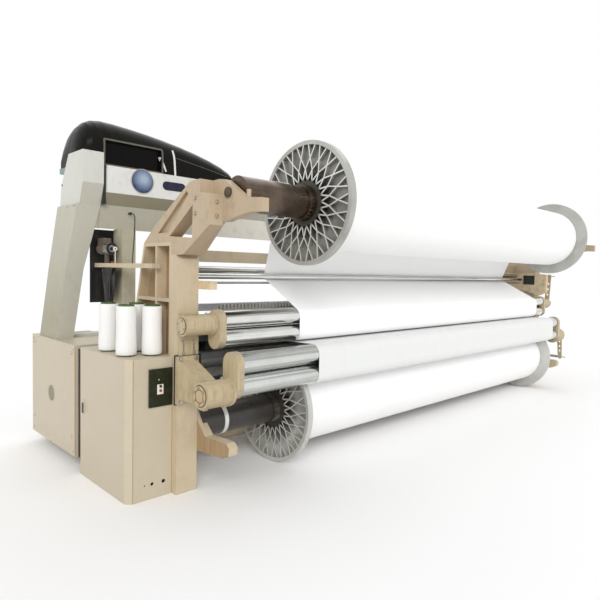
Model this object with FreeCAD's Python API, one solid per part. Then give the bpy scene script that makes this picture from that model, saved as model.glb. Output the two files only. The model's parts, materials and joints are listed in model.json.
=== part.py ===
"""A wide double-beam power loom, seen with its two warp beams at the back.

Millimetres, Z up.  X runs along the warp beams and its negative end is the drive
side ("near").  Negative Y is the warp-beam side, positive Y the cloth side.
The origin is the centre of the four anchor holes, at floor level.
"""
import FreeCAD
import Part
import math
import os

V = FreeCAD.Vector
X_AXIS = V(1, 0, 0)
Y_AXIS = V(0, 1, 0)
Z_AXIS = V(0, 0, 1)

# ---------------------------------------------------------------- driving sizes
RUN = 0.05                 # radial clearance of a shaft in its bore
GAP = 0.3                  # clearance between surfaces that pass each other
GUIDE_GAP = 0.5            # clearance of a sliding frame in its groove

# side frames
FRAME_IN = 2560            # machine centre to the inner face of a side frame
FRAME_W = 150              # thickness of a side frame along X
FRAME_WEB = 80             # closed web on the inner face
RIB = 22                   # ribs and rims of the casting
COLUMN_REAR = -820         # rear face of the rear column
COLUMN_DEPTH = 80
COLUMN_TOP = 1500
REAR_TOP = 1580            # top of the ribbed rear wall
REAR_WALL_FRONT = -391     # front edge of the rear wall at its top
REAR_WALL_FLARE = 190      # how far that edge runs forward down to the bench
BENCH_TOP = 870            # top of the low front body
FRAME_FRONT = 850
RIB_Z = (480, 1216)        # heights of the cross ribs
ANCHOR_Y = 650             # machine centre to an anchor hole
ANCHOR_IN = 35             # outer face of the frame to an anchor hole
ANCHOR_D = 18
SHELF_ARM_T = 20

# warp beams
FLANGE_D = 800
FLANGE_T = 45
UPPER_SPAN = 4032          # upper beam, outer flange face to outer flange face
LOWER_SPAN = 4236
FLANGE_DISC = 14           # thickness of the plain disc behind the ribs
RIM_W = 26                 # raised rim of the flange
HUB_D = 268                # raised hub of the flange
STAR_REPEATS = 22          # repeats of the star of ribs
STAR_RIB = 8               # width of one rib
STAR_ROOT = 0.37           # radii of the star's knots, as shares of the flange radius
STAR_CROSS = 0.545
STAR_KNOT = 0.72
STAR_SPREAD = 0.30         # half spread of a fork at the rim, in repeats
BARREL_D = 205
COLLAR_D = 232
COLLAR_L = 60
JOURNAL_D = 60
UPPER_JOURNAL_L = 66
LOWER_JOURNAL_L = 32
UPPER_Y = -1206
UPPER_Z = 1855
UPPER_YARN_D = 606
LOWER_Y = -728
LOWER_Z = 405
LOWER_YARN_D = 600
LOWER_SHIFT = 262          # the lower beam's yarn lies this far off centre
RING_FROM_END = 208        # reach of the lower barrel to its aluminium ring
LOWER_PLATE_T = 30         # thickness of the lower bearing plates
BARREL_PLAY = 8            # barrel end to bracket
RING_L = 30
RING_T = 5

# upper beam bracket: an A-frame with an arm on its inner face
BRACKET_T = 90
ARM_T = 48
ARM_TIP = -297             # Y of the arm's tip from the beam's axis
BRACKET_TOP = 82           # top of the bracket over the beam's axis
BRACKET_LEG = ((-534, 110), (-876, 312), (-944, 351))      # front edge of the leg: Y, Z over the frame
BRACKET_WINDOW = ((-718, 37), (-973, 20), (-977, 213))     # opening of the A, Z over the frame
BRACKET_POCKET = ((-575, 60), (-700, 60), (-930, 280), (-905, 300))
ARM_UPPER = ((88, 84), (37, 77), (-119, -23), (-176, -42))  # upper edge of the arm from the axis
ARM_LOWER = ((-211, -120), (-76, -140), (20, -163))        # lower edge of the arm from the axis
LOADING_ARM = ((-184, -43), (-293, -36), (-406, -33), (-437, -55), (-432, -105), (-368, -133))
KNOB_D = 26
LOADING_ARM_T = 64         # lower loading arm

# tension sets
UP_PIVOT = (-905, 1071)    # (Y, Z) of the swing axis
UP_ROLL_D = 117
UP_ROLL_Y = -925
UP_ROLL_Z = 1100
LOW_PIVOT = (-1085, 675)
LOW_ROLL_D = 136
LOW_ROLL_Y = -1100
LOW_ROLL_Z = 704
ROLL_GAP = 3               # between the two rollers of a set
ROLL_END = 2455            # machine centre to a roller's end
ROLL_WALL = 8
SPINDLE_D = 30
ARM_PLATE_T = 50
ARM_SPACE = 6              # roller end to arm plate
UP_HOUSING_D = 126
LOW_HOUSING_D = 162
HOUSING_WALL = 12          # closed outer end of the near housings
STUB_D = 50
STUB_NEAR = 2695           # machine centre to the end of a near pivot stub
STUB_FAR = 2740            # far stubs reach out to the lever's hub
UP_ARM_RIM = 64
LOW_ARM_RIM = 76
LEVER_T = 16
LEVER_W = 46
LEVER_OUT = 2752           # machine centre to the inner face of a far lever
UP_LEVER_L = 350
LOW_LEVER_L = 290
LEVER_LEAN = 0.06          # lean to the rear per unit of height
LEVER_HOLE_D = 24
LEVER_HOLES = 3
SPRING_ROD_D = 12
SPRING_D = 34
SPRING_WIRE = 5
UP_SPRING_TURNS = 8
LOW_SPRING_TURNS = 20
LUG_T = 20
LUG_GAP = 3                # play of the rod in the lever's eye
LUG_WALL = 9
POST_T = 30                # lug post that anchors the rod on the column
ROD_PAST = 60              # rod beyond the eye

# guide rods and their brackets
ROD_B = (-660, 1370)       # the warp turns round this one
ROD_B_D = 40
ROD_A = (-585, 1412)
ROD_A_D = 50
ROD_C = (-640, 1325)
ROD_C_D = 16
ROD_BRACKET_T = 50
ROD_BAR = ((-290, -80), (120, -80), (120, 75), (-40, 75), (-60, -28), (-290, -28))   # from rod B
ROD_CASTING = ((-280, -175), (-240, -195), (190, -80), (190, 90), (-100, 92), (-325, 70), (-325, -160))
ROD_WINDOW = ((-178, -62), (-24, 56))                      # corners of the far bracket's window from rod B
RAIL_Y = -560
RAIL_Z = 1467
RAIL_H = 80
RAIL_T = 50

# warp and cloth
SHEET_T = 1.5
SHEET_MARGIN = 11          # flange's inner face to the edge of the upper warp
LOWER_MARGIN = 6           # the same at the lower beam's near flange
FAR_MARGIN = 25            # and at its far flange
UPPER_DRAW = 140           # how far the near edge of the upper warp draws in to the rollers
ROD_FLARE = 40             # how far its far edge widens to the rods
ROLL_FLARE = 290           # and to the rollers
WARP_Z = 872               # height of the warp at the healds and the reed
FELL_Y = 470
FELL_R = 40                # easy bend of the warp where the cloth begins

# posts, girder, hood
POST_OUT = 2950            # machine centre to the outer face of a post
POST_W = 150
POST_COVER = ((0, 47, 131, 410, 745), (530, 38, 127, 230, 575), (985, 18, 168, 79, 445))
POST_HEAD = ((830, 0, 150, 140, 470), (1135, 0, 150, 29, 418), (1281, 0, 150, 26, 327), (1353, 0, 150, 26, 280))
# each stage: height over the bench, how far it stands out, width, rear edge, front edge
GIRDER_REAR = 30
GIRDER_DEPTH = 240
GIRDER_TOP = 2140
GIRDER_FACE = 1950         # lower edge of the upright rear face
GIRDER_BOTTOM = 1865
GIRDER_BEVEL = 60
SKIRT_BOTTOM = 1696
SKIRT_T = 20
GIRDER_END_GAP = 26        # narrow neck between the girder and a post
UPRIGHT_REAR = 20
UPRIGHT_DEPTH = 140
UPRIGHT_W = 106
HOOD_REAR = 75
HOOD_FRONT = 500
HOOD_STATIONS = ((-2949, 96), (-2945, 138), (-2935, 184), (-2918, 238), (-2894, 281), (-2860, 318),
                 (-2815, 342), (-2750, 353), (-2660, 351), (-2540, 341), (-2400, 326), (-2250, 304), (-2100, 277),
                 (-1950, 243), (-1820, 206), (-1720, 170), (-1650, 134), (-1615, 95), (-1604, 55))
HOOD_NOSE = 90             # length over which the near end rounds in plan
HOOD_DRAW = 70             # how far both sides draw in at the near end
HOOD_CROWN = 0.62          # share of a section's height that is rounded
HOOD_WINDOW = (-2770, -2320, 18, 185)   # X from, X to, Z from, Z to over the girder
HOOD_WINDOW_DEPTH = 40

# plain badges on the girder
CAP_X = -2504
CAP_Z = 2060
CAP_D = 172
CAP_T = 6
CAP_DOME = 14
PLATE_X = (-2335, -2135)
PLATE_Z = (2020, 2086)

# shelf, feeder, cables
SHELF_W = 55
SHELF_T = 30
SHELF_Z = 1415
SHELF_Y = (-604, 350)
FEEDER_Y = 90
FEEDER_X = -2738
FEEDER_Z = 1550
FEEDER_D = 84
FEEDER_L = 110
DRUM_D = 88
DRUM_L = 60
CABLE_D = 8
CABLE_ROUTE = ((-2577, 70, 1817), (-2578, 30, 1816), (-2584, -10, 1796), (-2606, -58, 1762),
               (-2636, -112, 1706), (-2664, -164, 1640), (-2690, -206, 1572), (-2708, -232, 1512),
               (-2716, -242, 1474), (-2716, -242, 1445))
BUNDLE_DROP = 262
BUNDLE_Y = 80
BACKING_Y = 262
BACKING_T = 6
BACKING_LOW = 1150

# control cabinet and drive case
CAB_DEPTH = 299            # from the side frame's outer face
CAB_REAR = -769
CAB_FRONT = -79
CAB_WALL = 3
CAB_CHAMFER = 36
CAB_PLINTH = 12
DOOR_T = 20
DOOR_POST = 58             # corner post beside the door's hinge edge
DOOR_PIN_D = 8
CABLE_HOLES = ((-2896, 9), (-2846, 20), (-2768, 24))   # (X, diameter)
CABLE_HOLES_Z = 92
PANEL_W = 156
PANEL_H = 232
PANEL_T = 6
PANEL_RIGHT = 8            # from the panel to the cabinet's inner corner
PANEL_TOP = 802
BUTTON_D = 16
BUTTON_L = 16
BUTTON_TRAVEL = 4
BUTTON_X = -2800
START_Z = 695
STOP_Z = 668
CASE_REAR = 11
CASE_FRONT = 882
CASE_BOTTOM = 87
CASE_WALL = 5
CASE_DISC_D = 118
MOTOR_D = 210
MOTOR_L = 190
MOTOR_Y = 300
MOTOR_FOOT = 34

# supply packages on the cabinet
CONE_D = 125
CONE_H = 300
TUBE_D = 96
TUBE_OUT = 9
CONE_PLACES = ((-2930, -590), (-2788, -650), (-2925, -330), (-2786, -440))

# front: sley, healds, take-up
TIE_D = 90
TIES = ((-250, 110), (560, 110))
BREAST_Y = 745
BREAST_D = 90
BREAST_TOP = 868
TAKE_UP = (655, 650)
TAKE_UP_D = 160
PRESS_D = 80
PRESS_ANGLE = 215          # direction of the press roller seen from the take-up roller
CLOTH_AXIS = (640, 330)
CLOTH_D = 260
CLOTH_CORE_D = 90
ROCK_AXIS = (380, 390)
ROCK_D = 80
SWORDS = 5
SWORD_T = 24
SLEY_Z = 770
SLEY_H = 60
SLEY_W = 80
REED_T = 12
REED_TOP = 960
REED_LOWER = 845           # top of the reed's lower baulk
REED_BAULK = 18
HEALD_Y = (150, 205)
HEALD_T = 25
HEALD_BOTTOM = 640
HEALD_TOP = 1120
HEALD_SHAFT = 60
HEALD_STAY = 40
GUIDE_T = 30
GUIDE_WALL = 14
COMB_Y = -818
COMB_T = 15
COMB_Z = 1128
COMB_H = 30
COMB_TOOTH = 28
COMB_TEETH = 160
COMB_REACH = 2391          # machine centre to the end of the toothed bar
COMB_CARRIER_H = 36
COMB_TOOTH_W = 9

# ---------------------------------------------------------------- worked-out places
FRAME_OUT = FRAME_IN + FRAME_W
CAB_OUT = FRAME_OUT + CAB_DEPTH
POST_TOP = BENCH_TOP + POST_HEAD[-1][0]
UPPER_FACES = (-UPPER_SPAN / 2, UPPER_SPAN / 2)
LOWER_FACES = (LOWER_SHIFT - LOWER_SPAN / 2, LOWER_SHIFT + LOWER_SPAN / 2)
UPPER_SHEET_NEAR = UPPER_FACES[0] + FLANGE_T + SHEET_MARGIN
UPPER_SHEET_FAR = UPPER_FACES[1] - FLANGE_T - SHEET_MARGIN
UPPER_SHEET_ROLL = UPPER_SHEET_NEAR + UPPER_DRAW
UPPER_SHEET_FAR_ROD = UPPER_SHEET_FAR + ROD_FLARE
UPPER_SHEET_FAR_ROLL = UPPER_SHEET_FAR + ROLL_FLARE
LOWER_SHEET_NEAR = LOWER_FACES[0] + FLANGE_T + LOWER_MARGIN
LOWER_SHEET_FAR = LOWER_FACES[1] - FLANGE_T - FAR_MARGIN
UPPER_REACH = FRAME_OUT - BRACKET_T - ARM_T - BARREL_PLAY
LOWER_REACH = FRAME_IN - LOWER_PLATE_T - BARREL_PLAY
REAR_WALL_FOOT = REAR_WALL_FRONT + REAR_WALL_FLARE
UP_LOW_Z = UP_ROLL_Z - UP_ROLL_D - ROLL_GAP
LOW_HIGH_Z = LOW_ROLL_Z + LOW_ROLL_D + ROLL_GAP
ARM_IN = ROLL_END + ARM_SPACE
ARM_OUT = ARM_IN + ARM_PLATE_T
HOUSING_IN = ARM_OUT + GAP
ROD_X = LEVER_OUT + LEVER_T + LUG_GAP + LUG_WALL + SPRING_ROD_D / 2
PRESS_REACH = TAKE_UP_D / 2 + PRESS_D / 2 + SHEET_T + 4 * GAP
PRESS_AXIS = (TAKE_UP[0] + PRESS_REACH * math.cos(math.radians(PRESS_ANGLE)),
              TAKE_UP[1] + PRESS_REACH * math.sin(math.radians(PRESS_ANGLE)))


# ---------------------------------------------------------------- small helpers
def box(x0, x1, y0, y1, z0, z1):
    return Part.makeBox(x1 - x0, y1 - y0, z1 - z0, V(x0, y0, z0))


def rod_x(x0, x1, axis, diameter):
    return Part.makeCylinder(diameter / 2, x1 - x0, V(x0, axis[0], axis[1]), X_AXIS)


def rod_y(y0, y1, x, z, diameter):
    return Part.makeCylinder(diameter / 2, y1 - y0, V(x, y0, z), Y_AXIS)


def rod_z(z0, z1, x, y, diameter):
    return Part.makeCylinder(diameter / 2, z1 - z0, V(x, y, z0), Z_AXIS)


def plate_x(outline, x0, x1):
    """A closed (Y, Z) outline pushed from x0 to x1."""
    points = [V(x0, y, z) for y, z in outline]
    face = Part.Face(Part.makePolygon(points + points[:1]))
    return face.extrude(V(x1 - x0, 0, 0))


def plate_y(outline, y0, y1):
    """A closed (X, Z) outline pushed from y0 to y1."""
    points = [V(x, y0, z) for x, z in outline]
    face = Part.Face(Part.makePolygon(points + points[:1]))
    return face.extrude(V(0, y1 - y0, 0))


def plate_z(outline, z0, z1):
    """A closed (X, Y) outline pushed from z0 to z1."""
    points = [V(x, y, z0) for x, y in outline]
    face = Part.Face(Part.makePolygon(points + points[:1]))
    return face.extrude(V(0, 0, z1 - z0))


def turned_x(profile, axis):
    """An (X, radius) profile turned about the line through axis = (Y, Z)."""
    points = [V(x, axis[0], axis[1] + radius) for x, radius in profile]
    face = Part.Face(Part.makePolygon(points + points[:1]))
    return face.revolve(V(0, axis[0], axis[1]), X_AXIS, 360)


def far(shape):
    """The same piece on the other side of the machine."""
    return shape.mirror(V(0, 0, 0), X_AXIS)


def joined(first, *others):
    return first.multiFuse(list(others)).removeSplitter()


def save(name, *solids):
    shape = solids[0] if len(solids) == 1 else Part.makeCompound(list(solids))
    shape.exportStep("parts/" + name + ".step")


def rounded_plate_x(ends, radii, x0, x1):
    """The outline round two circles (Y, Z), as a link plate."""
    first, second = (V(x0, *end) for end in ends)
    run = second - first
    tilt = math.asin((radii[0] - radii[1]) / run.Length)
    heading = math.atan2(run.z, run.y)

    def on(centre, radius, angle):
        return centre + V(0, math.cos(angle), math.sin(angle)) * radius

    left = heading + math.pi / 2 - tilt
    right = heading - math.pi / 2 + tilt
    edges = [Part.LineSegment(on(first, radii[0], left), on(second, radii[1], left)).toShape(),
             Part.Arc(on(second, radii[1], left), on(second, radii[1], heading),
                      on(second, radii[1], right)).toShape(),
             Part.LineSegment(on(second, radii[1], right), on(first, radii[0], right)).toShape(),
             Part.Arc(on(first, radii[0], right), on(first, radii[0], heading + math.pi),
                      on(first, radii[0], left)).toShape()]
    return Part.Face(Part.Wire(edges)).extrude(V(x1 - x0, 0, 0))


# ---------------------------------------------------------------- side frames
def frame_outline():
    return [(COLUMN_REAR, 0), (FRAME_FRONT, 0), (FRAME_FRONT, BENCH_TOP), (REAR_WALL_FOOT, BENCH_TOP),
            (REAR_WALL_FRONT, REAR_TOP), (COLUMN_REAR + COLUMN_DEPTH, REAR_TOP),
            (COLUMN_REAR + COLUMN_DEPTH, COLUMN_TOP), (COLUMN_REAR + RIB, COLUMN_TOP),
            (COLUMN_REAR, COLUMN_TOP - RIB)]


def wall_front(z):
    """Front edge of the rear wall at height z."""
    share = (REAR_TOP - z) / (REAR_TOP - BENCH_TOP)
    return REAR_WALL_FRONT + REAR_WALL_FLARE * share


def frame_pockets():
    """The pockets between the ribs, open on the outer face."""
    wall_rear = COLUMN_REAR + COLUMN_DEPTH + RIB
    levels = (RIB, RIB_Z[0], BENCH_TOP - RIB, RIB_Z[1], REAR_TOP)
    pockets = []
    for low, high in zip(levels, levels[1:]):
        z0 = low + RIB / 2
        z1 = high - RIB / 2 if high != REAR_TOP else high - RIB
        if low >= BENCH_TOP - RIB:
            front0, front1 = wall_front(z0) - RIB, wall_front(z1) - RIB
        else:
            front0 = front1 = REAR_WALL_FOOT - RIB
        middle = (wall_rear + REAR_WALL_FRONT) / 2
        pockets.append([(wall_rear, z0), (middle - RIB / 2, z0), (middle - RIB / 2, z1), (wall_rear, z1)])
        pockets.append([(middle + RIB / 2, z0), (front0, z0), (front1, z1), (middle + RIB / 2, z1)])
    front_from = REAR_WALL_FOOT + RIB / 2
    bay = (FRAME_FRONT - RIB - front_from) / 2
    for count in range(2):
        y0 = front_from + bay * count
        y1 = y0 + bay - RIB
        for low, high in ((RIB, RIB_Z[0]), (RIB_Z[0], BENCH_TOP - RIB / 2)):
            pockets.append([(y0, low + RIB / 2), (y1, low + RIB / 2), (y1, high - RIB / 2), (y0, high - RIB / 2)])
    return pockets


def side_frame():
    """Near side frame: a box column, a ribbed rear wall and a ribbed front body."""
    frame = plate_x(frame_outline(), -FRAME_OUT, -FRAME_IN)
    for pocket in frame_pockets():
        frame = frame.cut(plate_x(pocket, -FRAME_OUT - RIB, -FRAME_IN - FRAME_WEB))
    for y in (-ANCHOR_Y, ANCHOR_Y):
        frame = frame.cut(rod_z(-RIB, 2 * RIB, -FRAME_OUT + ANCHOR_IN, y, ANCHOR_D))
    shafts = ((TAKE_UP, SPINDLE_D), (PRESS_AXIS, SPINDLE_D), (CLOTH_AXIS, SPINDLE_D), (ROCK_AXIS, SPINDLE_D))
    for axis, diameter in shafts:
        boss = rod_x(-FRAME_IN - FRAME_WEB, -FRAME_IN + GUIDE_T / 2, axis, diameter + 2 * RIB)
        frame = joined(frame, boss)
    for axis, diameter in shafts:
        frame = frame.cut(rod_x(-FRAME_IN - FRAME_WEB, -FRAME_IN + GUIDE_T, axis, diameter + 2 * RUN))
    return frame.removeSplitter()


def cross_ties():
    return [rod_x(-FRAME_IN, FRAME_IN, tie, TIE_D) for tie in TIES]


def rear_rail():
    return box(-FRAME_IN, FRAME_IN, RAIL_Y, RAIL_Y + RAIL_T, RAIL_Z, RAIL_Z + RAIL_H)


# ---------------------------------------------------------------- beam brackets
def upper_bracket():
    """A-frame on the frame's top with the beam arm cast on its inner side."""
    x0 = -FRAME_OUT
    x1 = x0 + BRACKET_T
    top = UPPER_Z + BRACKET_TOP
    tip = UPPER_Y + ARM_TIP
    neck = UPPER_Y + 154
    root = (COLUMN_REAR - 63, COLUMN_TOP + 6)
    heel = (UPPER_Y + 106, REAR_TOP + 120)
    leg = [(y, REAR_TOP + rise) for y, rise in BRACKET_LEG]
    outline = [(REAR_WALL_FRONT, REAR_TOP), *leg, (neck, top), (neck, UPPER_Z + 5), (UPPER_Y + 52, UPPER_Z - 10),
               (UPPER_Y + 52, REAR_TOP + 90), root, (COLUMN_REAR, COLUMN_TOP),
               (COLUMN_REAR + COLUMN_DEPTH, COLUMN_TOP), (COLUMN_REAR + COLUMN_DEPTH, REAR_TOP)]
    frame = plate_x(outline, x0, x1)
    window = plate_x([(y, REAR_TOP + rise) for y, rise in BRACKET_WINDOW], x0 - RIB, x1 + RIB)
    face_pocket = [(y, REAR_TOP + rise) for y, rise in BRACKET_POCKET]
    frame = frame.cut(window).cut(plate_x(face_pocket, x0 - RIB, x0 + RIB))
    upper = [(UPPER_Y + dy, UPPER_Z + dz) for dy, dz in ARM_UPPER]
    lower = [(UPPER_Y + dy, UPPER_Z + dz) for dy, dz in ARM_LOWER]
    arm_outline = [(COLUMN_REAR - 120, REAR_TOP + 120), (COLUMN_REAR - 120, top - RIB), (neck, top), *upper,
                   (tip, UPPER_Z - 52), (tip, UPPER_Z - 125), *lower]
    arm = plate_x(arm_outline, x1, x1 + ARM_T)
    saddle = box(x1, -FRAME_IN, COLUMN_REAR, COLUMN_REAR + COLUMN_DEPTH, COLUMN_TOP, REAR_TOP)
    gusset = plate_x([(COLUMN_REAR - 120, REAR_TOP + 120), heel, root, (COLUMN_REAR, COLUMN_TOP),
                      (COLUMN_REAR, REAR_TOP)], x1, x1 + ARM_T + 12)
    knob = rod_z(UPPER_Z - 50, UPPER_Z + 5, x1 + ARM_T / 2, UPPER_Y - 155, KNOB_D)
    bracket = joined(frame, arm, saddle, gusset, knob)
    bore = rod_x(-UPPER_REACH - UPPER_JOURNAL_L - 1, x1 + ARM_T + RIB, (UPPER_Y, UPPER_Z), JOURNAL_D + 2 * RUN)
    return bracket.cut(bore)


def lower_bracket():
    """Bearing plate on the frame's inner face, with a loading arm to the rear."""
    x0 = -FRAME_IN
    x1 = x0 + LOWER_PLATE_T
    shoulder = LOWER_Y - BARREL_D / 2 - BARREL_PLAY
    foot = LOWER_Z - 149
    loading = [(LOWER_Y + dy, LOWER_Z + dz) for dy, dz in LOADING_ARM]
    outline = [(LOWER_Y + 92, LOWER_Z - 130), (LOWER_Y + 92, LOWER_Z + 110), (LOWER_Y - 52, LOWER_Z + 110),
               (shoulder, LOWER_Z + 30), *loading, (shoulder, foot), (LOWER_Y - 32, foot)]
    plate = plate_x(outline, x0, x1)
    arm = plate_x([(shoulder, LOWER_Z + 22), *loading, (shoulder, foot)], x1, x1 + LOADING_ARM_T - LOWER_PLATE_T)
    plate = joined(plate, arm)
    bore = rod_x(x0 + 3, x1 + RIB, (LOWER_Y, LOWER_Z), JOURNAL_D + 2 * RUN)
    return plate.cut(bore)


# ---------------------------------------------------------------- warp beams
def inset(corners, amount):
    """The convex outline moved inwards by amount on every side."""
    count = len(corners)
    turning = sum(corners[k][0] * corners[(k + 1) % count][1] - corners[(k + 1) % count][0] * corners[k][1]
                  for k in range(count))
    sense = 1 if turning > 0 else -1
    lines = []
    for k in range(count):
        (y0, z0), (y1, z1) = corners[k], corners[(k + 1) % count]
        length = math.hypot(y1 - y0, z1 - z0)
        normal = (-(z1 - z0) / length * sense, (y1 - y0) / length * sense)
        lines.append((normal[0], normal[1], normal[0] * y0 + normal[1] * z0 + amount))
    moved = []
    for k in range(count):
        (a0, b0, c0), (a1, b1, c1) = lines[k - 1], lines[k]
        cross = a0 * b1 - a1 * b0
        moved.append(((c0 * b1 - c1 * b0) / cross, (a0 * c1 - a1 * c0) / cross))
    return moved


def star_pockets():
    """The pockets of one repeat of the star, as (radius, turn) corners.

    Straight ribs leave the hub both ways, cross their neighbours, meet again in a
    ring of knots and fork once more before the rim.  Turns count in repeats.
    """
    radius = FLANGE_D / 2
    hub = HUB_D / 2
    rim = radius - RIM_W + STAR_RIB / 2
    root, cross, knot = radius * STAR_ROOT, radius * STAR_CROSS, radius * STAR_KNOT
    spear = [(hub + STAR_RIB, 0.02), (cross, 0.5), (hub + STAR_RIB, 0.98)]
    lozenge = [(root, 0), (cross, 0.5), (knot, 0), (cross, -0.5)]
    gate = [(cross, 0.5), (knot, 1), (rim, 1 - STAR_SPREAD), (rim, STAR_SPREAD), (knot, 0)]
    fork = [(knot, 0), (rim, STAR_SPREAD), (rim, -STAR_SPREAD)]
    return spear, lozenge, gate, fork


def beam_flange(x_out, y, z, sense):
    """A cast flange: plain disc behind, star of ribs, rim and hub on its outer face."""
    step = 2 * math.pi / STAR_REPEATS
    rib_depth = FLANGE_T - FLANGE_DISC
    x_disc = x_out + sense * rib_depth
    rim = Part.Wire(Part.makeCircle(FLANGE_D / 2, V(x_out, y, z), X_AXIS))
    star = Part.Face(rim)
    holes = []
    for repeat in range(STAR_REPEATS):
        for corners in star_pockets():
            outline = inset([(radius * math.cos((repeat + turn) * step), radius * math.sin((repeat + turn) * step))
                             for radius, turn in corners], STAR_RIB / 2)
            points = [V(x_out, y + dy, z + dz) for dy, dz in outline]
            holes.append(Part.Face(Part.makePolygon(points + points[:1])))
    star = star.cut(Part.makeCompound(holes))
    lattice = star.extrude(V(sense * rib_depth, 0, 0))
    disc = Part.makeCylinder(FLANGE_D / 2, FLANGE_DISC, V(x_disc, y, z), X_AXIS * sense)
    bore = Part.makeCylinder(BARREL_D / 2, 2 * FLANGE_T, V(x_out - sense * FLANGE_DISC, y, z), X_AXIS * sense)
    return lattice.fuse(disc).cut(bore).removeSplitter()


def beam_barrel(y, z, reach, journal_l, left, right):
    """Steel tube with journals at both ends and a collar outside each flange."""
    tube, collar, journal = BARREL_D / 2, COLLAR_D / 2, JOURNAL_D / 2
    end = reach + journal_l
    profile = [(-end, 0), (-end, journal), (-reach, journal), (-reach, tube),
               (left - COLLAR_L, tube), (left - COLLAR_L, collar), (left, collar), (left, tube),
               (right, tube), (right, collar), (right + COLLAR_L, collar), (right + COLLAR_L, tube),
               (reach, tube), (reach, journal), (end, journal), (end, 0)]
    return turned_x(profile, (y, z))


def beam_yarn(y, z, diameter, left, right):
    x0, x1 = left + FLANGE_T, right - FLANGE_T
    return rod_x(x0, x1, (y, z), diameter).cut(rod_x(x0, x1, (y, z), BARREL_D))


def lower_ring():
    x0 = RING_FROM_END - LOWER_REACH - LOWER_JOURNAL_L
    ring = rod_x(x0, x0 + RING_L, (LOWER_Y, LOWER_Z), BARREL_D + 2 * RING_T)
    return ring.cut(rod_x(x0, x0 + RING_L, (LOWER_Y, LOWER_Z), BARREL_D))


def make_beam(name, y, z, reach, journal, faces, yarn, *extras):
    left, right = faces
    save(name + "_beam_barrel", beam_barrel(y, z, reach, journal, left, right))
    save(name + "_beam_flanges", beam_flange(left, y, z, 1), beam_flange(right, y, z, -1), *extras)
    save(name + "_yarn", beam_yarn(y, z, yarn, left, right))


# ---------------------------------------------------------------- tension sets
def roller(y, z, diameter):
    """A closed tube with a spindle at each end."""
    half, spindle = diameter / 2, SPINDLE_D / 2
    end = ARM_IN + ARM_PLATE_T * 0.7
    inner = ROLL_END - ROLL_WALL
    profile = [(-end, 0), (-end, spindle), (-ROLL_END, spindle), (-ROLL_END, half), (ROLL_END, half),
               (ROLL_END, spindle), (end, spindle), (end, 0), (inner, 0), (inner, half - ROLL_WALL),
               (-inner, half - ROLL_WALL), (-inner, 0)]
    return turned_x(profile, (y, z))


def swing_arm(pivot, first, second, rim, stub_end):
    """Near arm of a set: link plate over both rollers, with its pivot stub."""
    eyes = rounded_plate_x((first, second), (rim, rim), -ARM_OUT, -ARM_IN)
    stub = rod_x(-stub_end, -ARM_IN, pivot, STUB_D)
    arm = joined(eyes, stub)
    for axis in (first, second):
        arm = arm.cut(rod_x(-ARM_IN - ARM_PLATE_T * 0.8, -ARM_IN + RIB, axis, SPINDLE_D + 2 * RUN))
    return arm


def upper_housing(wall):
    """Foot plate on the column with a round bearing housing along X; wall closes its outer end."""
    x0, x1 = -FRAME_OUT - RIB, -HOUSING_IN
    plate = box(-FRAME_OUT + 5, -FRAME_IN - 5, COLUMN_REAR - 14, COLUMN_REAR, 880, 1142)
    body = rod_x(x0, x1, UP_PIVOT, UP_HOUSING_D)
    bridge = box(-FRAME_OUT + 10, -FRAME_IN - 12, UP_PIVOT[0], COLUMN_REAR,
                 UP_PIVOT[1] - UP_HOUSING_D / 2 + 8, UP_PIVOT[1] + UP_HOUSING_D / 2 - 8)
    collar = rod_x(x1 - RIB, x1, UP_PIVOT, UP_HOUSING_D + 14)
    cap = rod_x(x0 - 6, x0, UP_PIVOT, UP_HOUSING_D - 30)
    pads = [box(x - 16, x + 16, COLUMN_REAR - 30, COLUMN_REAR - 14, 1104, 1138)
            for x in (-FRAME_OUT + 40, -FRAME_IN - 40)]
    housing = joined(plate, body, bridge, collar, cap, *pads)
    housing = housing.cut(rod_x(x0 + wall if wall > 0 else x0 - RIB, x1 + RIB, UP_PIVOT, STUB_D + 2 * RUN))
    for x in (-FRAME_OUT + 38, -FRAME_IN - 38):
        slot = box(x - 6, x + 6, COLUMN_REAR - 15, COLUMN_REAR + 1, 905, 950)
        housing = housing.cut(slot)
    return housing


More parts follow.
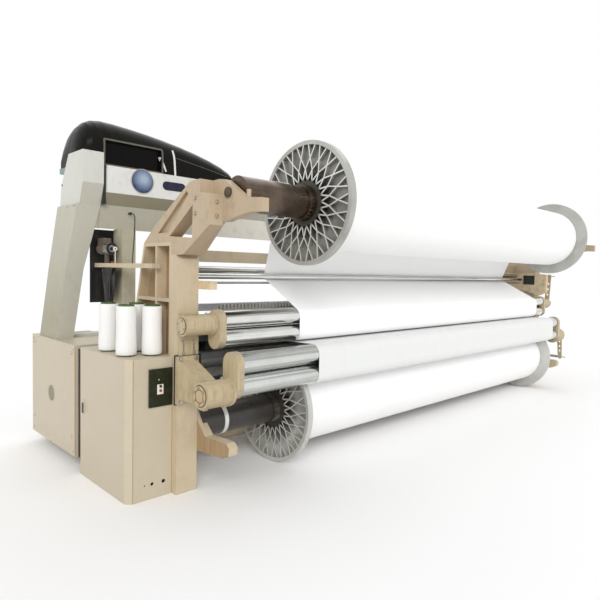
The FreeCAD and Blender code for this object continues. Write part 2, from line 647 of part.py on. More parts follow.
def lower_housing(wall):
    """Foot plate and flared neck carrying the lower set's bearing housing."""
    x0, x1 = -FRAME_OUT - 5, -HOUSING_IN
    half = LOW_HOUSING_D / 2
    plate = box(-FRAME_OUT - 15, -FRAME_IN - 15, COLUMN_REAR - 35, COLUMN_REAR, 580, 876)
    neck_from = Part.makePolygon([V(x, COLUMN_REAR - 35, z) for x, z in
                                  ((-FRAME_OUT + 5, 610), (-FRAME_IN - 35, 610), (-FRAME_IN - 35, 850),
                                   (-FRAME_OUT + 5, 850), (-FRAME_OUT + 5, 610))])
    neck_to = Part.makePolygon([V(x, LOW_PIVOT[0] + half / 2, z) for x, z in
                                ((-FRAME_OUT + 20, LOW_PIVOT[1] - half + 12),
                                 (-FRAME_IN - 20, LOW_PIVOT[1] - half + 12),
                                 (-FRAME_IN - 20, LOW_PIVOT[1] + half - 5),
                                 (-FRAME_OUT + 20, LOW_PIVOT[1] + half - 5),
                                 (-FRAME_OUT + 20, LOW_PIVOT[1] - half + 12))])
    neck = Part.makeLoft([neck_from, neck_to], True, True)
    body = rod_x(x0, x1, LOW_PIVOT, LOW_HOUSING_D)
    ears = [box(x, x + 30, LOW_PIVOT[0] - 12, LOW_PIVOT[0] + 12, LOW_PIVOT[1] - half - 8, LOW_PIVOT[1])
            for x in (x0 + 16, x1 - 46)]
    cap = rod_x(x0 - 6, x0, LOW_PIVOT, LOW_HOUSING_D - 40)
    collar = rod_x(x1 - RIB, x1, LOW_PIVOT, LOW_HOUSING_D + 12)
    housing = joined(plate, neck, body, cap, collar, *ears)
    return housing.cut(rod_x(x0 + wall if wall > 0 else x0 - RIB, x1 + RIB, LOW_PIVOT, STUB_D + 2 * RUN))


def far_lever(pivot, end):
    """Pierced lever keyed on the far stub, with an eye for the spring rod."""
    x0, x1 = LEVER_OUT, LEVER_OUT + LEVER_T
    plate = rounded_plate_x((pivot, end), (LEVER_W / 2 + 6, LEVER_W / 2), x0, x1)
    for count in range(LEVER_HOLES):
        share = (count + 1.6) / (LEVER_HOLES + 2)
        centre = (pivot[0] + (end[0] - pivot[0]) * share, pivot[1] + (end[1] - pivot[1]) * share)
        plate = plate.cut(rod_x(x0 - RIB, x1 + RIB, centre, LEVER_HOLE_D))
    hub = rod_x(STUB_FAR, x1 + RIB, pivot, STUB_D + 2 * RIB)
    eye = rod_y(end[0] - LUG_T / 2, end[0] + LUG_T / 2, ROD_X, end[1],
                SPRING_ROD_D + 2 * LUG_GAP + 2 * LUG_WALL)
    bridge = box(x1 - 1, x1 + LUG_WALL, end[0] - LUG_T / 2, end[0] + LUG_T / 2, end[1] - LUG_T / 2,
                 end[1] + LUG_T / 2)
    lever = joined(plate, hub, eye, bridge)
    rod_hole = rod_y(end[0] - LUG_T, end[0] + LUG_T, ROD_X, end[1], SPRING_ROD_D + 2 * LUG_GAP)
    return lever.cut(rod_hole)


def spring_anchor(eye):
    """Post on the far column with the long threaded rod through the lever's eye."""
    z = eye[1]
    post = box(FRAME_IN + RIB, ROD_X + POST_T / 2, COLUMN_REAR - POST_T, COLUMN_REAR,
               z - POST_T / 2, z + POST_T / 2)
    rod = rod_y(eye[0] - ROD_PAST, COLUMN_REAR - POST_T / 2, ROD_X, z, SPRING_ROD_D)
    return joined(post, rod)


def helix_point(y0, pitch, x, z, radius, turns):
    angle = 2 * math.pi * turns
    return V(x + radius * math.cos(angle), y0 + pitch * turns, z + radius * math.sin(angle))


def helix_tangent(pitch, radius, turns):
    angle = 2 * math.pi * turns
    tangent = V(-2 * math.pi * radius * math.sin(angle), pitch, 2 * math.pi * radius * math.cos(angle))
    return tangent.normalize()


def arc_from(start, tangent, end):
    """The arc that leaves start along tangent and reaches end."""
    chord = end - start
    along = V(chord).normalize()
    side = (tangent - along * tangent.dot(along)).normalize()
    angle = math.acos(max(-1.0, min(1.0, tangent.dot(along))))
    middle = (start + end) * 0.5 + side * (chord.Length / 2 * math.tan(angle / 2))
    return Part.Arc(start, middle, end).toShape()


def biarc(start, tangent0, end, tangent1):
    """Two arcs, tangent to each other, between two points with given headings."""
    chord = end - start
    total = tangent0 + tangent1
    spread = 2 * (1 - tangent0.dot(tangent1))
    along = chord.dot(total)
    reach = (-along + math.sqrt(along * along + spread * chord.dot(chord))) / spread
    knot = (start + end + (tangent0 - tangent1) * reach) * 0.5
    heading = (end - tangent1 * reach - start - tangent0 * reach).normalize()
    return [arc_from(start, tangent0, knot), arc_from(knot, heading, end)]


def coil_spring(y0, y1, x, z, turns):
    """One unbroken wire of quarter-turn biarcs about an axis along Y."""
    radius = (SPRING_D - SPRING_WIRE) / 2
    pitch = (y1 - y0 - SPRING_WIRE - 2 * GAP) / turns
    start = y0 + SPRING_WIRE / 2 + GAP
    edges = []
    for quarter in range(4 * turns):
        t0, t1 = quarter / 4, (quarter + 1) / 4
        edges += biarc(helix_point(start, pitch, x, z, radius, t0), helix_tangent(pitch, radius, t0),
                       helix_point(start, pitch, x, z, radius, t1), helix_tangent(pitch, radius, t1))
    first = helix_point(start, pitch, x, z, radius, 0)
    section = Part.Wire(Part.makeCircle(SPRING_WIRE / 2, first, helix_tangent(pitch, radius, 0)))
    print("spring", "pitch", round(pitch, 2), "least gap between loops", round(pitch - SPRING_WIRE, 2))
    return Part.Wire(edges).makePipeShell([section], True, False)


# ---------------------------------------------------------------- rods
def guide_rods():
    return [rod_x(-FRAME_IN + GAP, FRAME_IN - GAP, ROD_A, ROD_A_D),
            rod_x(-FRAME_IN + GAP, FRAME_IN - GAP, ROD_B, ROD_B_D),
            rod_x(-FRAME_IN + GAP, FRAME_IN - GAP, ROD_C, ROD_C_D)]


def rod_bracket_near():
    x0, x1 = -FRAME_IN, -FRAME_IN + ROD_BRACKET_T
    bar = plate_x([(ROD_B[0] + dy, ROD_B[1] + dz) for dy, dz in ROD_BAR], x0, x1)
    return holed_for_rods(bar, x0, x1)


def rod_bracket_far():
    x0, x1 = FRAME_IN - ROD_BRACKET_T, FRAME_IN
    plate = plate_x([(ROD_B[0] + dy, ROD_B[1] + dz) for dy, dz in ROD_CASTING], x0, x1)
    return holed_for_rods(plate.cut(rod_window(x0 - 1, x1 + 1)), x0, x1)


def rod_window(x0, x1):
    (rear, low), (front, high) = ROD_WINDOW
    return box(x0, x1, ROD_B[0] + rear, ROD_B[0] + front, ROD_B[1] + low, ROD_B[1] + high)


def holed_for_rods(plate, x0, x1):
    for axis, diameter in ((ROD_A, ROD_A_D), (ROD_B, ROD_B_D), (ROD_C, ROD_C_D)):
        plate = plate.cut(rod_x(x0 - 1, x1 + 1, axis, diameter))
    return plate


def lease_comb():
    """A toothed bar in front of the upper rollers, on a carrier between the side frames."""
    y1 = COMB_Y + COMB_T
    carrier = box(-FRAME_IN, FRAME_IN, COMB_Y, y1, COMB_Z - COMB_CARRIER_H, COMB_Z)
    bar = box(-COMB_REACH, COMB_REACH, COMB_Y, y1, COMB_Z - 1, COMB_Z + COMB_H)
    pitch = (2 * COMB_REACH - COMB_TOOTH_W) / (COMB_TEETH - 1)
    teeth = [box(x, x + COMB_TOOTH_W, COMB_Y, y1, COMB_Z + COMB_H - 1, COMB_Z + COMB_H + COMB_TOOTH)
             for x in [-COMB_REACH + pitch * count for count in range(COMB_TEETH)]]
    return joined(carrier, bar, *teeth)


# ---------------------------------------------------------------- warp and cloth
def tangent_run(first, second):
    """Heading of the straight run between two (Y, Z, signed radius) turns."""
    dy, dz = second[0] - first[0], second[1] - first[1]
    lean = math.asin((second[2] - first[2]) / math.hypot(dy, dz))
    heading = math.atan2(dz, dy) - lean
    return heading


def path_edges(turns, x):
    """Straight runs and arcs along the turns; a positive radius lies on the left."""
    headings = [tangent_run(a, b) for a, b in zip(turns, turns[1:])]

    def touch(turn, heading):
        return V(x, turn[0] + turn[2] * math.sin(heading), turn[1] - turn[2] * math.cos(heading))

    edges = []
    for index, heading in enumerate(headings):
        start, end = touch(turns[index], heading), touch(turns[index + 1], heading)
        edges.append(Part.LineSegment(start, end).toShape())
        if index + 1 < len(headings) and turns[index + 1][2] != 0:
            turn, after = turns[index + 1], headings[index + 1]
            swing = (after - heading) % (2 * math.pi) if turn[2] > 0 else -((heading - after) % (2 * math.pi))
            out = touch(turn, after)
            if abs(swing) > 1e-6:
                edges.append(Part.Arc(end, touch(turn, heading + swing / 2), out).toShape())
    return edges


def warp_sheet(turns, x0, x1):
    """A thin sheet that follows the turns (Y, Z, radius of the roller, side)."""
    def offset(amount):
        return [(y, z, side * (radius + GAP + SHEET_T / 2) - amount) for y, z, radius, side in turns]

    one = path_edges(offset(SHEET_T / 2), x0)
    two = path_edges(offset(-SHEET_T / 2), x0)
    ends = [Part.LineSegment(one[0].Vertexes[0].Point, two[0].Vertexes[0].Point).toShape(),
            Part.LineSegment(one[-1].Vertexes[-1].Point, two[-1].Vertexes[-1].Point).toShape()]
    wire = Part.Wire(Part.__sortEdges__(one + two + ends))
    return Part.Face(wire).extrude(V(x1 - x0, 0, 0))


def upper_sheet():
    turns = [(UPPER_Y, UPPER_Z, UPPER_YARN_D / 2, -1), (ROD_B[0], ROD_B[1], ROD_B_D / 2, -1),
             (UP_ROLL_Y, UP_ROLL_Z, UP_ROLL_D / 2, 1), (UP_ROLL_Y, UP_LOW_Z, UP_ROLL_D / 2, 1),
             (FELL_Y, WARP_Z + 2 * SHEET_T, 0, 1)]
    sheet = warp_sheet(turns, UPPER_SHEET_NEAR, UPPER_SHEET_FAR_ROLL)
    top = UPPER_Z + UPPER_YARN_D
    near_edge = [(UPPER_SHEET_NEAR - 1, 0), (UPPER_SHEET_ROLL, 0), (UPPER_SHEET_ROLL, UP_ROLL_Z),
                 (UPPER_SHEET_NEAR, UPPER_Z), (UPPER_SHEET_NEAR - 1, UPPER_Z)]
    rim_z = UPPER_Z - (FLANGE_D - UPPER_YARN_D) / 2 - RIM_W
    far_edge = [(UPPER_SHEET_FAR_ROLL + 1, UP_ROLL_Z), (UPPER_SHEET_FAR_ROLL, UP_ROLL_Z),
                (UPPER_SHEET_FAR_ROD, ROD_B[1]), (UPPER_SHEET_FAR + 6, rim_z), (UPPER_SHEET_FAR, UPPER_Z),
                (UPPER_SHEET_FAR, top), (UPPER_SHEET_FAR_ROLL + 1, top)]
    for edge in (near_edge, far_edge):
        sheet = sheet.cut(plate_y(edge, UPPER_Y - FLANGE_D, FRAME_FRONT))
    return sheet


def lower_sheet():
    breast_z = BREAST_TOP - BREAST_D / 2
    turns = [(LOWER_Y, LOWER_Z, LOWER_YARN_D / 2, 1), (LOW_ROLL_Y, LOW_ROLL_Z, LOW_ROLL_D / 2, -1),
             (LOW_ROLL_Y, LOW_HIGH_Z, LOW_ROLL_D / 2, -1), (FELL_Y, WARP_Z + FELL_R, FELL_R, 1),
             (BREAST_Y, breast_z, BREAST_D / 2, -1), (TAKE_UP[0], TAKE_UP[1], TAKE_UP_D / 2, -1),
             (PRESS_AXIS[0], PRESS_AXIS[1], PRESS_D / 2, 1), (CLOTH_AXIS[0], CLOTH_AXIS[1], CLOTH_D / 2, -1)]
    return warp_sheet(turns, LOWER_SHEET_NEAR, LOWER_SHEET_FAR)


# ---------------------------------------------------------------- superstructure
def post_stages(stages):
    """A four-sided box post through its stages."""
    wires = []
    for rise, out, width, rear, front in stages:
        x0, z = -POST_OUT - out, BENCH_TOP + rise
        corners = [V(x0, rear, z), V(x0 + width, rear, z), V(x0 + width, front, z), V(x0, front, z)]
        wires.append(Part.makePolygon(corners + corners[:1]))
    return Part.makeLoft(wires, True, True)


def front_post():
    """Leaning box post: a wider lower cover, and a head whose rear side ends upright."""
    rear = POST_COVER[0][3]
    arm = box(-POST_OUT, -FRAME_IN, rear + 60, rear + 200, BENCH_TOP, BENCH_TOP + SHELF_ARM_T)
    return joined(post_stages(POST_COVER), post_stages(POST_HEAD), arm)


def girder_profile():
    front = GIRDER_REAR + GIRDER_DEPTH
    bevel = GIRDER_REAR + GIRDER_BEVEL
    return [(GIRDER_REAR, GIRDER_TOP), (GIRDER_REAR, GIRDER_FACE), (bevel, GIRDER_BOTTOM),
            (bevel, SKIRT_BOTTOM), (bevel + SKIRT_T, SKIRT_BOTTOM), (bevel + SKIRT_T, GIRDER_BOTTOM),
            (front, GIRDER_BOTTOM), (front, GIRDER_TOP)]


def top_girder():
    inner = POST_OUT - POST_W
    body = plate_x(girder_profile(), -inner + GIRDER_END_GAP, inner - GIRDER_END_GAP)
    neck = box(-inner, inner, GIRDER_REAR + GIRDER_BEVEL + 10, GIRDER_REAR + GIRDER_DEPTH - 10,
               GIRDER_BOTTOM + 15, GIRDER_TOP - 15)
    skirt = box(-inner, inner, GIRDER_REAR + GIRDER_BEVEL, GIRDER_REAR + GIRDER_BEVEL + SKIRT_T, SKIRT_BOTTOM,
                GIRDER_BOTTOM - 2 * GAP)
    return joined(body, neck, skirt)


def girder_seal():
    """Dark seal in the gap between the girder and the near post."""
    inner = POST_OUT - POST_W
    return box(-inner, -inner + GIRDER_END_GAP, GIRDER_REAR + RIB, GIRDER_REAR + GIRDER_BEVEL + 10,
               GIRDER_BOTTOM, GIRDER_TOP)


def upright():
    """Column between the low front body and the girder, with the heald grooves."""
    column = box(-FRAME_IN - UPRIGHT_W, -FRAME_IN, UPRIGHT_REAR, UPRIGHT_REAR + UPRIGHT_DEPTH, BENCH_TOP, SKIRT_BOTTOM)
    guide_rear = HEALD_Y[0] - GUIDE_GAP - GUIDE_WALL
    guide_front = HEALD_Y[1] + HEALD_T + GUIDE_GAP + GUIDE_WALL
    guide = box(-FRAME_IN, -FRAME_IN + GUIDE_T, guide_rear, guide_front, HEALD_BOTTOM - 60, HEALD_TOP + 140)
    bridge = box(-FRAME_IN - GUIDE_T, -FRAME_IN, guide_rear, guide_front, BENCH_TOP, HEALD_TOP + 140)
    column = joined(column, guide, bridge)
    for y in HEALD_Y:
        column = column.cut(box(-FRAME_IN + GUIDE_T / 3, -FRAME_IN + GUIDE_T + 1, y - GUIDE_GAP,
                                y + HEALD_T + GUIDE_GAP, HEALD_BOTTOM - 61, HEALD_TOP + 141))
    return column


def hood_section(x, height):
    """Rear wall, round crown and front wall over the girder, as one closed wire."""
    into = max(0.0, (HOOD_STATIONS[0][0] + HOOD_NOSE - x) / HOOD_NOSE)
    draw = HOOD_DRAW * into ** 2
    rear, front = HOOD_REAR + draw, HOOD_FRONT - draw
    base = GIRDER_TOP
    top = base + height
    crown = height * HOOD_CROWN
    ridge = rear + (front - rear) * 0.42
    slope = math.sqrt(0.5)
    rear_mid = V(x, ridge - (ridge - rear) * slope, top - crown * (1 - slope))
    front_mid = V(x, ridge + (front - ridge) * slope, top - crown * (1 - slope))
    corners = [V(x, rear, base), V(x, rear, top - crown), V(x, ridge, top), V(x, front, top - crown),
               V(x, front, base)]
    edges = [Part.LineSegment(corners[0], corners[1]).toShape(),
             Part.Arc(corners[1], rear_mid, corners[2]).toShape(),
             Part.Arc(corners[2], front_mid, corners[3]).toShape(),
             Part.LineSegment(corners[3], corners[4]).toShape(),
             Part.LineSegment(corners[4], corners[0]).toShape()]
    return Part.Wire(edges)


def post_room():
    """Room for the post's head under the hood, leaning with its front side."""
    (low_rise, *_, low_front), (high_rise, *_, high_front) = POST_HEAD[-2:]
    slope = (low_front - high_front) / (high_rise - low_rise)
    front_low = low_front + slope * (BENCH_TOP + low_rise - GIRDER_TOP) + slope
    points = [(POST_HEAD[-1][3] - RIB, GIRDER_TOP - 1), (front_low + 2 * GAP, GIRDER_TOP - 1),
              (high_front + 2 * GAP, POST_TOP + GAP), (POST_HEAD[-1][3] - RIB, POST_TOP + GAP)]
    return plate_x(points, -POST_OUT - 1, -POST_OUT + POST_W + GAP)


def hood():
    """Long black hood on the girder, with its recessed window on the rear side."""
    shell = Part.makeLoft([hood_section(x, height) for x, height in HOOD_STATIONS], True, True)
    x0, x1, low, high = HOOD_WINDOW
    window = box(x0, x1, HOOD_REAR - RIB, HOOD_REAR + HOOD_WINDOW_DEPTH, GIRDER_TOP + low, GIRDER_TOP + high)
    return shell.cut(window).cut(post_room())


# ---------------------------------------------------------------- shelf, feeder, cables
def shelf():
    return box(-FRAME_OUT - SHELF_W, -FRAME_OUT, SHELF_Y[0], SHELF_Y[1], SHELF_Z, SHELF_Z + SHELF_T)


def weft_feeder():
    """Feeder body with its clamp arm to the upright."""
    body = rod_y(FEEDER_Y, FEEDER_Y + FEEDER_L, FEEDER_X, FEEDER_Z, FEEDER_D)
    motor = box(FEEDER_X - 26, FEEDER_X + 30, FEEDER_Y + 20, FEEDER_Y + FEEDER_L + 15, FEEDER_Z + 20, FEEDER_Z + 78)
    arm = box(FEEDER_X, -FRAME_IN - UPRIGHT_W, FEEDER_Y + 6, FEEDER_Y + 46, FEEDER_Z - 22, FEEDER_Z + 22)
    foot = box(FEEDER_X - 12, FEEDER_X + 12, FEEDER_Y + 12, FEEDER_Y + 36, SHELF_Z + SHELF_T, FEEDER_Z)
    shaft = rod_y(FEEDER_Y - DRUM_L + 12, FEEDER_Y + 1, FEEDER_X, FEEDER_Z, SPINDLE_D)
    return joined(body, motor, arm, foot, shaft)


def backing_plate():
    """Dark plate behind the feeder, screwed to the post's inner face and notched round the shelf."""
    plate = box(-POST_OUT + POST_W, -FRAME_IN - GAP, BACKING_Y, BACKING_Y + BACKING_T, BACKING_LOW, SKIRT_BOTTOM)
    notch = box(-FRAME_OUT - SHELF_W - GAP, -FRAME_OUT + GAP, BACKING_Y - 1, BACKING_Y + BACKING_T + 1,
                SHELF_Z - GAP, SHELF_Z + SHELF_T + GAP)
    return plate.cut(notch)


def feeder_drum():
    drum = rod_y(FEEDER_Y - DRUM_L, FEEDER_Y - GAP, FEEDER_X, FEEDER_Z, DRUM_D)
    cup = rod_y(FEEDER_Y - DRUM_L - 1, FEEDER_Y - DRUM_L + 8, FEEDER_X, FEEDER_Z, DRUM_D * 0.55)
    bore = rod_y(FEEDER_Y - DRUM_L + 8, FEEDER_Y, FEEDER_X, FEEDER_Z, SPINDLE_D + 2 * RUN)
    return drum.cut(cup).cut(bore)


def hanging_cable():
    """Straight runs joined by tangent arcs along the route."""
    points = [V(*point) for point in CABLE_ROUTE]
    edges = []
    start = points[0]
    radii = []
    for before, here, after in zip(points, points[1:], points[2:]):
        back, ahead = before - here, after - here
        half_turn = (math.pi - back.getAngle(ahead)) / 2
        radius = 0.45 * min(back.Length, ahead.Length) / math.tan(half_turn)
        setback = radius * math.tan(half_turn)
        one = here + V(back).normalize() * setback
        two = here + V(ahead).normalize() * setback
        inward = (V(back).normalize() + V(ahead).normalize()).normalize()
        middle = here + inward * (radius / math.cos(half_turn) - radius)
        edges.append(Part.LineSegment(start, one).toShape())
        edges.append(Part.Arc(one, middle, two).toShape())
        start = two
        radii.append(round(radius))
    edges.append(Part.LineSegment(start, points[-1]).toShape())
    path = Part.Wire(edges)
    section = Part.Wire(Part.makeCircle(CABLE_D / 2, points[0], points[1] - points[0]))
    tube = path.makePipeShell([section], True, False)
    print("cable length", round(path.Length), "radii", radii,
          "volume share", round(tube.Volume / (math.pi * CABLE_D ** 2 / 4 * path.Length), 3))
    return tube


def cable_bundle():
    """Bunch of black leads hanging under the shelf."""
    x, y = -FRAME_OUT - SHELF_W / 2, BUNDLE_Y
    sections = []
    for share, width, depth, lean in ((0, 22, 96, 0), (0.25, 26, 104, -4), (0.55, 25, 84, 6), (0.85, 20, 56, 10),
                                      (1, 14, 34, 6)):
        z = SHELF_Z - BUNDLE_DROP * share
        corners = [V(x + lean + width * math.cos(a), y + lean + depth * math.sin(a), z)
                   for a in [math.radians(45 * k) for k in range(8)]]
        sections.append(Part.makePolygon(corners + corners[:1]))
    return Part.makeLoft(sections, True, True)


def cable_duct():
    """Upright trunking in the gap between the cabinet and the drive case."""
    return box(-CAB_OUT + RIB, -FRAME_OUT - GAP, CAB_FRONT + GAP, CASE_REAR - GAP, CASE_BOTTOM, BENCH_TOP - RIB)


def far_blank():
    """Dark blank behind the window of the far rod bracket."""
    return rod_window(FRAME_IN - RIB, FRAME_IN)


# ---------------------------------------------------------------- cabinet and case
def door_span():
    return CAB_REAR + DOOR_POST, CAB_FRONT - CAB_WALL


def control_cabinet():
    """Sheet-steel box, open behind its door, on a low plinth."""
    outer = plate_z([(-CAB_OUT, CAB_REAR + CAB_CHAMFER), (-CAB_OUT + CAB_CHAMFER, CAB_REAR),
                     (-FRAME_OUT, CAB_REAR), (-FRAME_OUT, CAB_FRONT), (-CAB_OUT, CAB_FRONT)], 0, BENCH_TOP)
    y0, y1 = door_span()
    inner = plate_z([(-CAB_OUT + DOOR_T, CAB_REAR + CAB_CHAMFER), (-CAB_OUT + CAB_CHAMFER + CAB_WALL, CAB_REAR + CAB_WALL),
                     (-FRAME_OUT - CAB_WALL, CAB_REAR + CAB_WALL), (-FRAME_OUT - CAB_WALL, y1),
                     (-CAB_OUT + DOOR_T, y1)], CAB_PLINTH + CAB_WALL, BENCH_TOP - CAB_WALL)
    doorway = box(-CAB_OUT - 1, -CAB_OUT + DOOR_T + 1, y0 - DOOR_T / 2 - GUIDE_GAP, CAB_FRONT + 1,
                  CAB_PLINTH, BENCH_TOP - CAB_WALL)
    cabinet = outer.cut(inner).cut(doorway)
    for z in (CAB_PLINTH - 6, BENCH_TOP - CAB_WALL - 1):
        cabinet = cabinet.cut(rod_z(z, z + 8, -CAB_OUT + DOOR_T / 2, y0, DOOR_PIN_D + 2 * RUN))
    for x, diameter in CABLE_HOLES:
        cabinet = cabinet.cut(rod_y(CAB_REAR - 1, CAB_REAR + CAB_WALL + 1, x, CABLE_HOLES_Z, diameter))
    for z in (START_Z, STOP_Z):
        cabinet = cabinet.cut(rod_y(CAB_REAR - 1, CAB_REAR + CAB_WALL + 1, BUTTON_X, z, BUTTON_D + 2 * GAP))
    return cabinet


def cabinet_door():
    """Door leaf that turns on two pins in its rounded hinge edge."""
    y0, y1 = door_span()
    low, high = CAB_PLINTH + GAP, BENCH_TOP - CAB_WALL - GAP
    x = -CAB_OUT + DOOR_T / 2
    leaf = box(-CAB_OUT, -CAB_OUT + DOOR_T, y0, y1, low, high)
    edge = rod_z(low, high, x, y0, DOOR_T)
    hollow = box(-CAB_OUT + CAB_WALL, -CAB_OUT + DOOR_T + 1, y0 + DOOR_T, y1 - DOOR_T, low + DOOR_T, high - DOOR_T)
    handle = box(-CAB_OUT - 8, -CAB_OUT + CAB_WALL, y1 - 70, y1 - 46, 430, 520)
    pins = [rod_z(low - 5, low + 5, x, y0, DOOR_PIN_D), rod_z(high - 5, high + CAB_WALL, x, y0, DOOR_PIN_D)]
    return joined(leaf.cut(hollow), edge, handle, *pins)


def switch_panel():
    """Plate on the cabinet's rear side, with a raised switch plate and two button bores."""
    x1 = -FRAME_OUT - PANEL_RIGHT
    plate = box(x1 - PANEL_W, x1, CAB_REAR - PANEL_T, CAB_REAR, PANEL_TOP - PANEL_H, PANEL_TOP)
    raised = box(BUTTON_X - 21, BUTTON_X + 21, CAB_REAR - PANEL_T - 3, CAB_REAR - PANEL_T, STOP_Z - 24, START_Z + 20)
    panel = joined(plate, raised)
    for z in (START_Z, STOP_Z):
        panel = panel.cut(rod_y(CAB_REAR - 2 * PANEL_T, CAB_REAR + 1, BUTTON_X, z, BUTTON_D + 2 * RUN))
    return panel


def push_button(z):
    return rod_y(CAB_REAR - PANEL_T - BUTTON_L + CAB_WALL, CAB_REAR + CAB_WALL, BUTTON_X, z, BUTTON_D)


def drive_case():
    """Cover over the drive, open towards the side frame."""
    outer = box(-CAB_OUT, -FRAME_OUT, CASE_REAR, CASE_FRONT, CASE_BOTTOM, BENCH_TOP)
    inner = box(-CAB_OUT + CASE_WALL, -FRAME_OUT + 1, CASE_REAR + CASE_WALL, CASE_FRONT - CASE_WALL,
                CASE_BOTTOM + CASE_WALL, BENCH_TOP - CASE_WALL)
    disc = rod_x(-CAB_OUT - CAB_WALL, -CAB_OUT, (459, 462), CASE_DISC_D)
    knobs = [rod_x(-CAB_OUT - 8, -CAB_OUT, (y, z), 18)
             for y in (CASE_REAR + 60, CASE_FRONT - 50) for z in (218, 812)]
    return joined(outer.cut(inner), disc, *knobs)


def drive_motor():
    """Motor with cooling ribs and pulley on the floor of the case."""
    z = CASE_BOTTOM + CASE_WALL + MOTOR_FOOT + MOTOR_D / 2
    x0 = -CAB_OUT + CASE_WALL + 45
    body = rod_x(x0, x0 + MOTOR_L, (MOTOR_Y, z), MOTOR_D - 14)
    ribs = [rod_x(x0 + 20 + 24 * k, x0 + 30 + 24 * k, (MOTOR_Y, z), MOTOR_D) for k in range(7)]
    foot = box(x0 + 20, x0 + MOTOR_L - 20, MOTOR_Y - 90, MOTOR_Y + 90, CASE_BOTTOM + CASE_WALL,
               z - MOTOR_D / 2 + 24)
    pulley = rod_x(x0 - 38, x0, (MOTOR_Y, z), 110)
    return joined(body, foot, pulley, *ribs)


def yarn_cones():
    """Supply packages standing on the cabinet, and the tubes they are wound on."""
    cones, tubes = [], []
    for x, y in CONE_PLACES:
        z0 = BENCH_TOP + TUBE_OUT
        outer = Part.makeCone(CONE_D / 2, CONE_D / 2 - 3, CONE_H, V(x, y, z0), Z_AXIS)
        core = rod_z(z0 - 1, z0 + CONE_H + 1, x, y, TUBE_D)
        cones.append(outer.cut(core))
        tube = rod_z(BENCH_TOP, z0 + CONE_H + TUBE_OUT, x, y, TUBE_D)
        tubes.append(tube.cut(rod_z(BENCH_TOP - 1, z0 + CONE_H + TUBE_OUT + 1, x, y, TUBE_D - 12)))
    return cones, tubes


# ---------------------------------------------------------------- front of the loom
def breast_beam():
    """Rounded beam that the cloth turns over."""
    z = BREAST_TOP - BREAST_D / 2
    nose = rod_x(-FRAME_IN, FRAME_IN, (BREAST_Y, z), BREAST_D)
    web = box(-FRAME_IN, FRAME_IN, BREAST_Y - 10, BREAST_Y + 10, z - 110, z)
    return joined(nose, web)


def front_roller(axis, diameter):
    """Roller with journals in the side frames' bosses."""
    end = FRAME_IN - GUIDE_T / 2 - GAP
    half, spindle = diameter / 2, SPINDLE_D / 2
    reach = FRAME_IN + FRAME_WEB - GAP
    profile = [(-reach, 0), (-reach, spindle), (-end, spindle), (-end, half), (end, half), (end, spindle),
               (reach, spindle), (reach, 0)]
    return turned_x(profile, axis)


def wound_cloth():
    x0, x1 = LOWER_SHEET_NEAR - 10, LOWER_SHEET_FAR + 10
    return rod_x(x0, x1, CLOTH_AXIS, CLOTH_D).cut(rod_x(x0, x1, CLOTH_AXIS, CLOTH_CORE_D))


def sley():
    """Rocking shaft, swords, sley beam and the reed's frame, each a piece of its own."""
    end = FRAME_IN - GUIDE_T / 2 - GAP
    y, z = ROCK_AXIS
    shaft = front_roller(ROCK_AXIS, ROCK_D)
    swords = []
    for count in range(SWORDS):
        x = -end + 260 + (2 * end - 520 - SWORD_T) * count / (SWORDS - 1)
        sword = plate_x([(y - 60, z), (y + 60, z), (y + 34, SLEY_Z), (y - 34, SLEY_Z)], x, x + SWORD_T)
        swords.append(sword.cut(rod_x(x - 1, x + SWORD_T + 1, ROCK_AXIS, ROCK_D)))
    beam = box(-end + 60, end - 60, y - SLEY_W / 2, y + SLEY_W / 2, SLEY_Z, SLEY_Z + SLEY_H)
    x0, x1 = -end + 120, end - 120
    y0, y1 = y - REED_T / 2, y + REED_T / 2
    foot = box(x0, x1, y0, y1, SLEY_Z + SLEY_H, REED_LOWER)
    head = box(x0, x1, y0, y1, REED_TOP - REED_BAULK, REED_TOP)
    ends = [box(x, x + REED_BAULK, y0, y1, REED_LOWER, REED_TOP - REED_BAULK) for x in (x0, x1 - REED_BAULK)]
    return [shaft, beam, foot, head, *ends, *swords]


def heald_frame(y):
    """Open frame: two shafts and two end stays that slide in the grooves."""
    half = FRAME_IN - GUIDE_T / 3 - GUIDE_GAP
    y1 = y + HEALD_T
    shafts = [box(-half + HEALD_STAY, half - HEALD_STAY, y, y1, z, z + HEALD_SHAFT)
              for z in (HEALD_BOTTOM, HEALD_TOP - HEALD_SHAFT)]
    stays = [box(x, x + HEALD_STAY, y, y1, HEALD_BOTTOM, HEALD_TOP) for x in (-half, half - HEALD_STAY)]
    return shafts + stays


# ---------------------------------------------------------------- plain badges
def round_cap():
    """Plain domed cap on the girder's rear face."""
    rim = rod_y(GIRDER_REAR - CAP_T, GIRDER_REAR, CAP_X, CAP_Z, CAP_D)
    bulge = (CAP_D * CAP_D / 4 + CAP_DOME * CAP_DOME) / (2 * CAP_DOME)
    ball = Part.makeSphere(bulge, V(CAP_X, GIRDER_REAR - CAP_T - CAP_DOME + bulge, CAP_Z))
    dome = ball.common(rod_y(GIRDER_REAR - CAP_T - CAP_DOME - 1, GIRDER_REAR - CAP_T, CAP_X, CAP_Z, CAP_D))
    return joined(rim, dome)


def blank_plate():
    """Plain oblong plate with round ends."""
    half = (PLATE_Z[1] - PLATE_Z[0]) / 2
    y0, z = GIRDER_REAR - CAB_WALL, PLATE_Z[0] + half
    ends = [rod_y(y0, GIRDER_REAR, x, z, 2 * half) for x in (PLATE_X[0] + half, PLATE_X[1] - half)]
    middle = box(PLATE_X[0] + half, PLATE_X[1] - half, y0, GIRDER_REAR, PLATE_Z[0], PLATE_Z[1])
    return joined(middle, *ends)


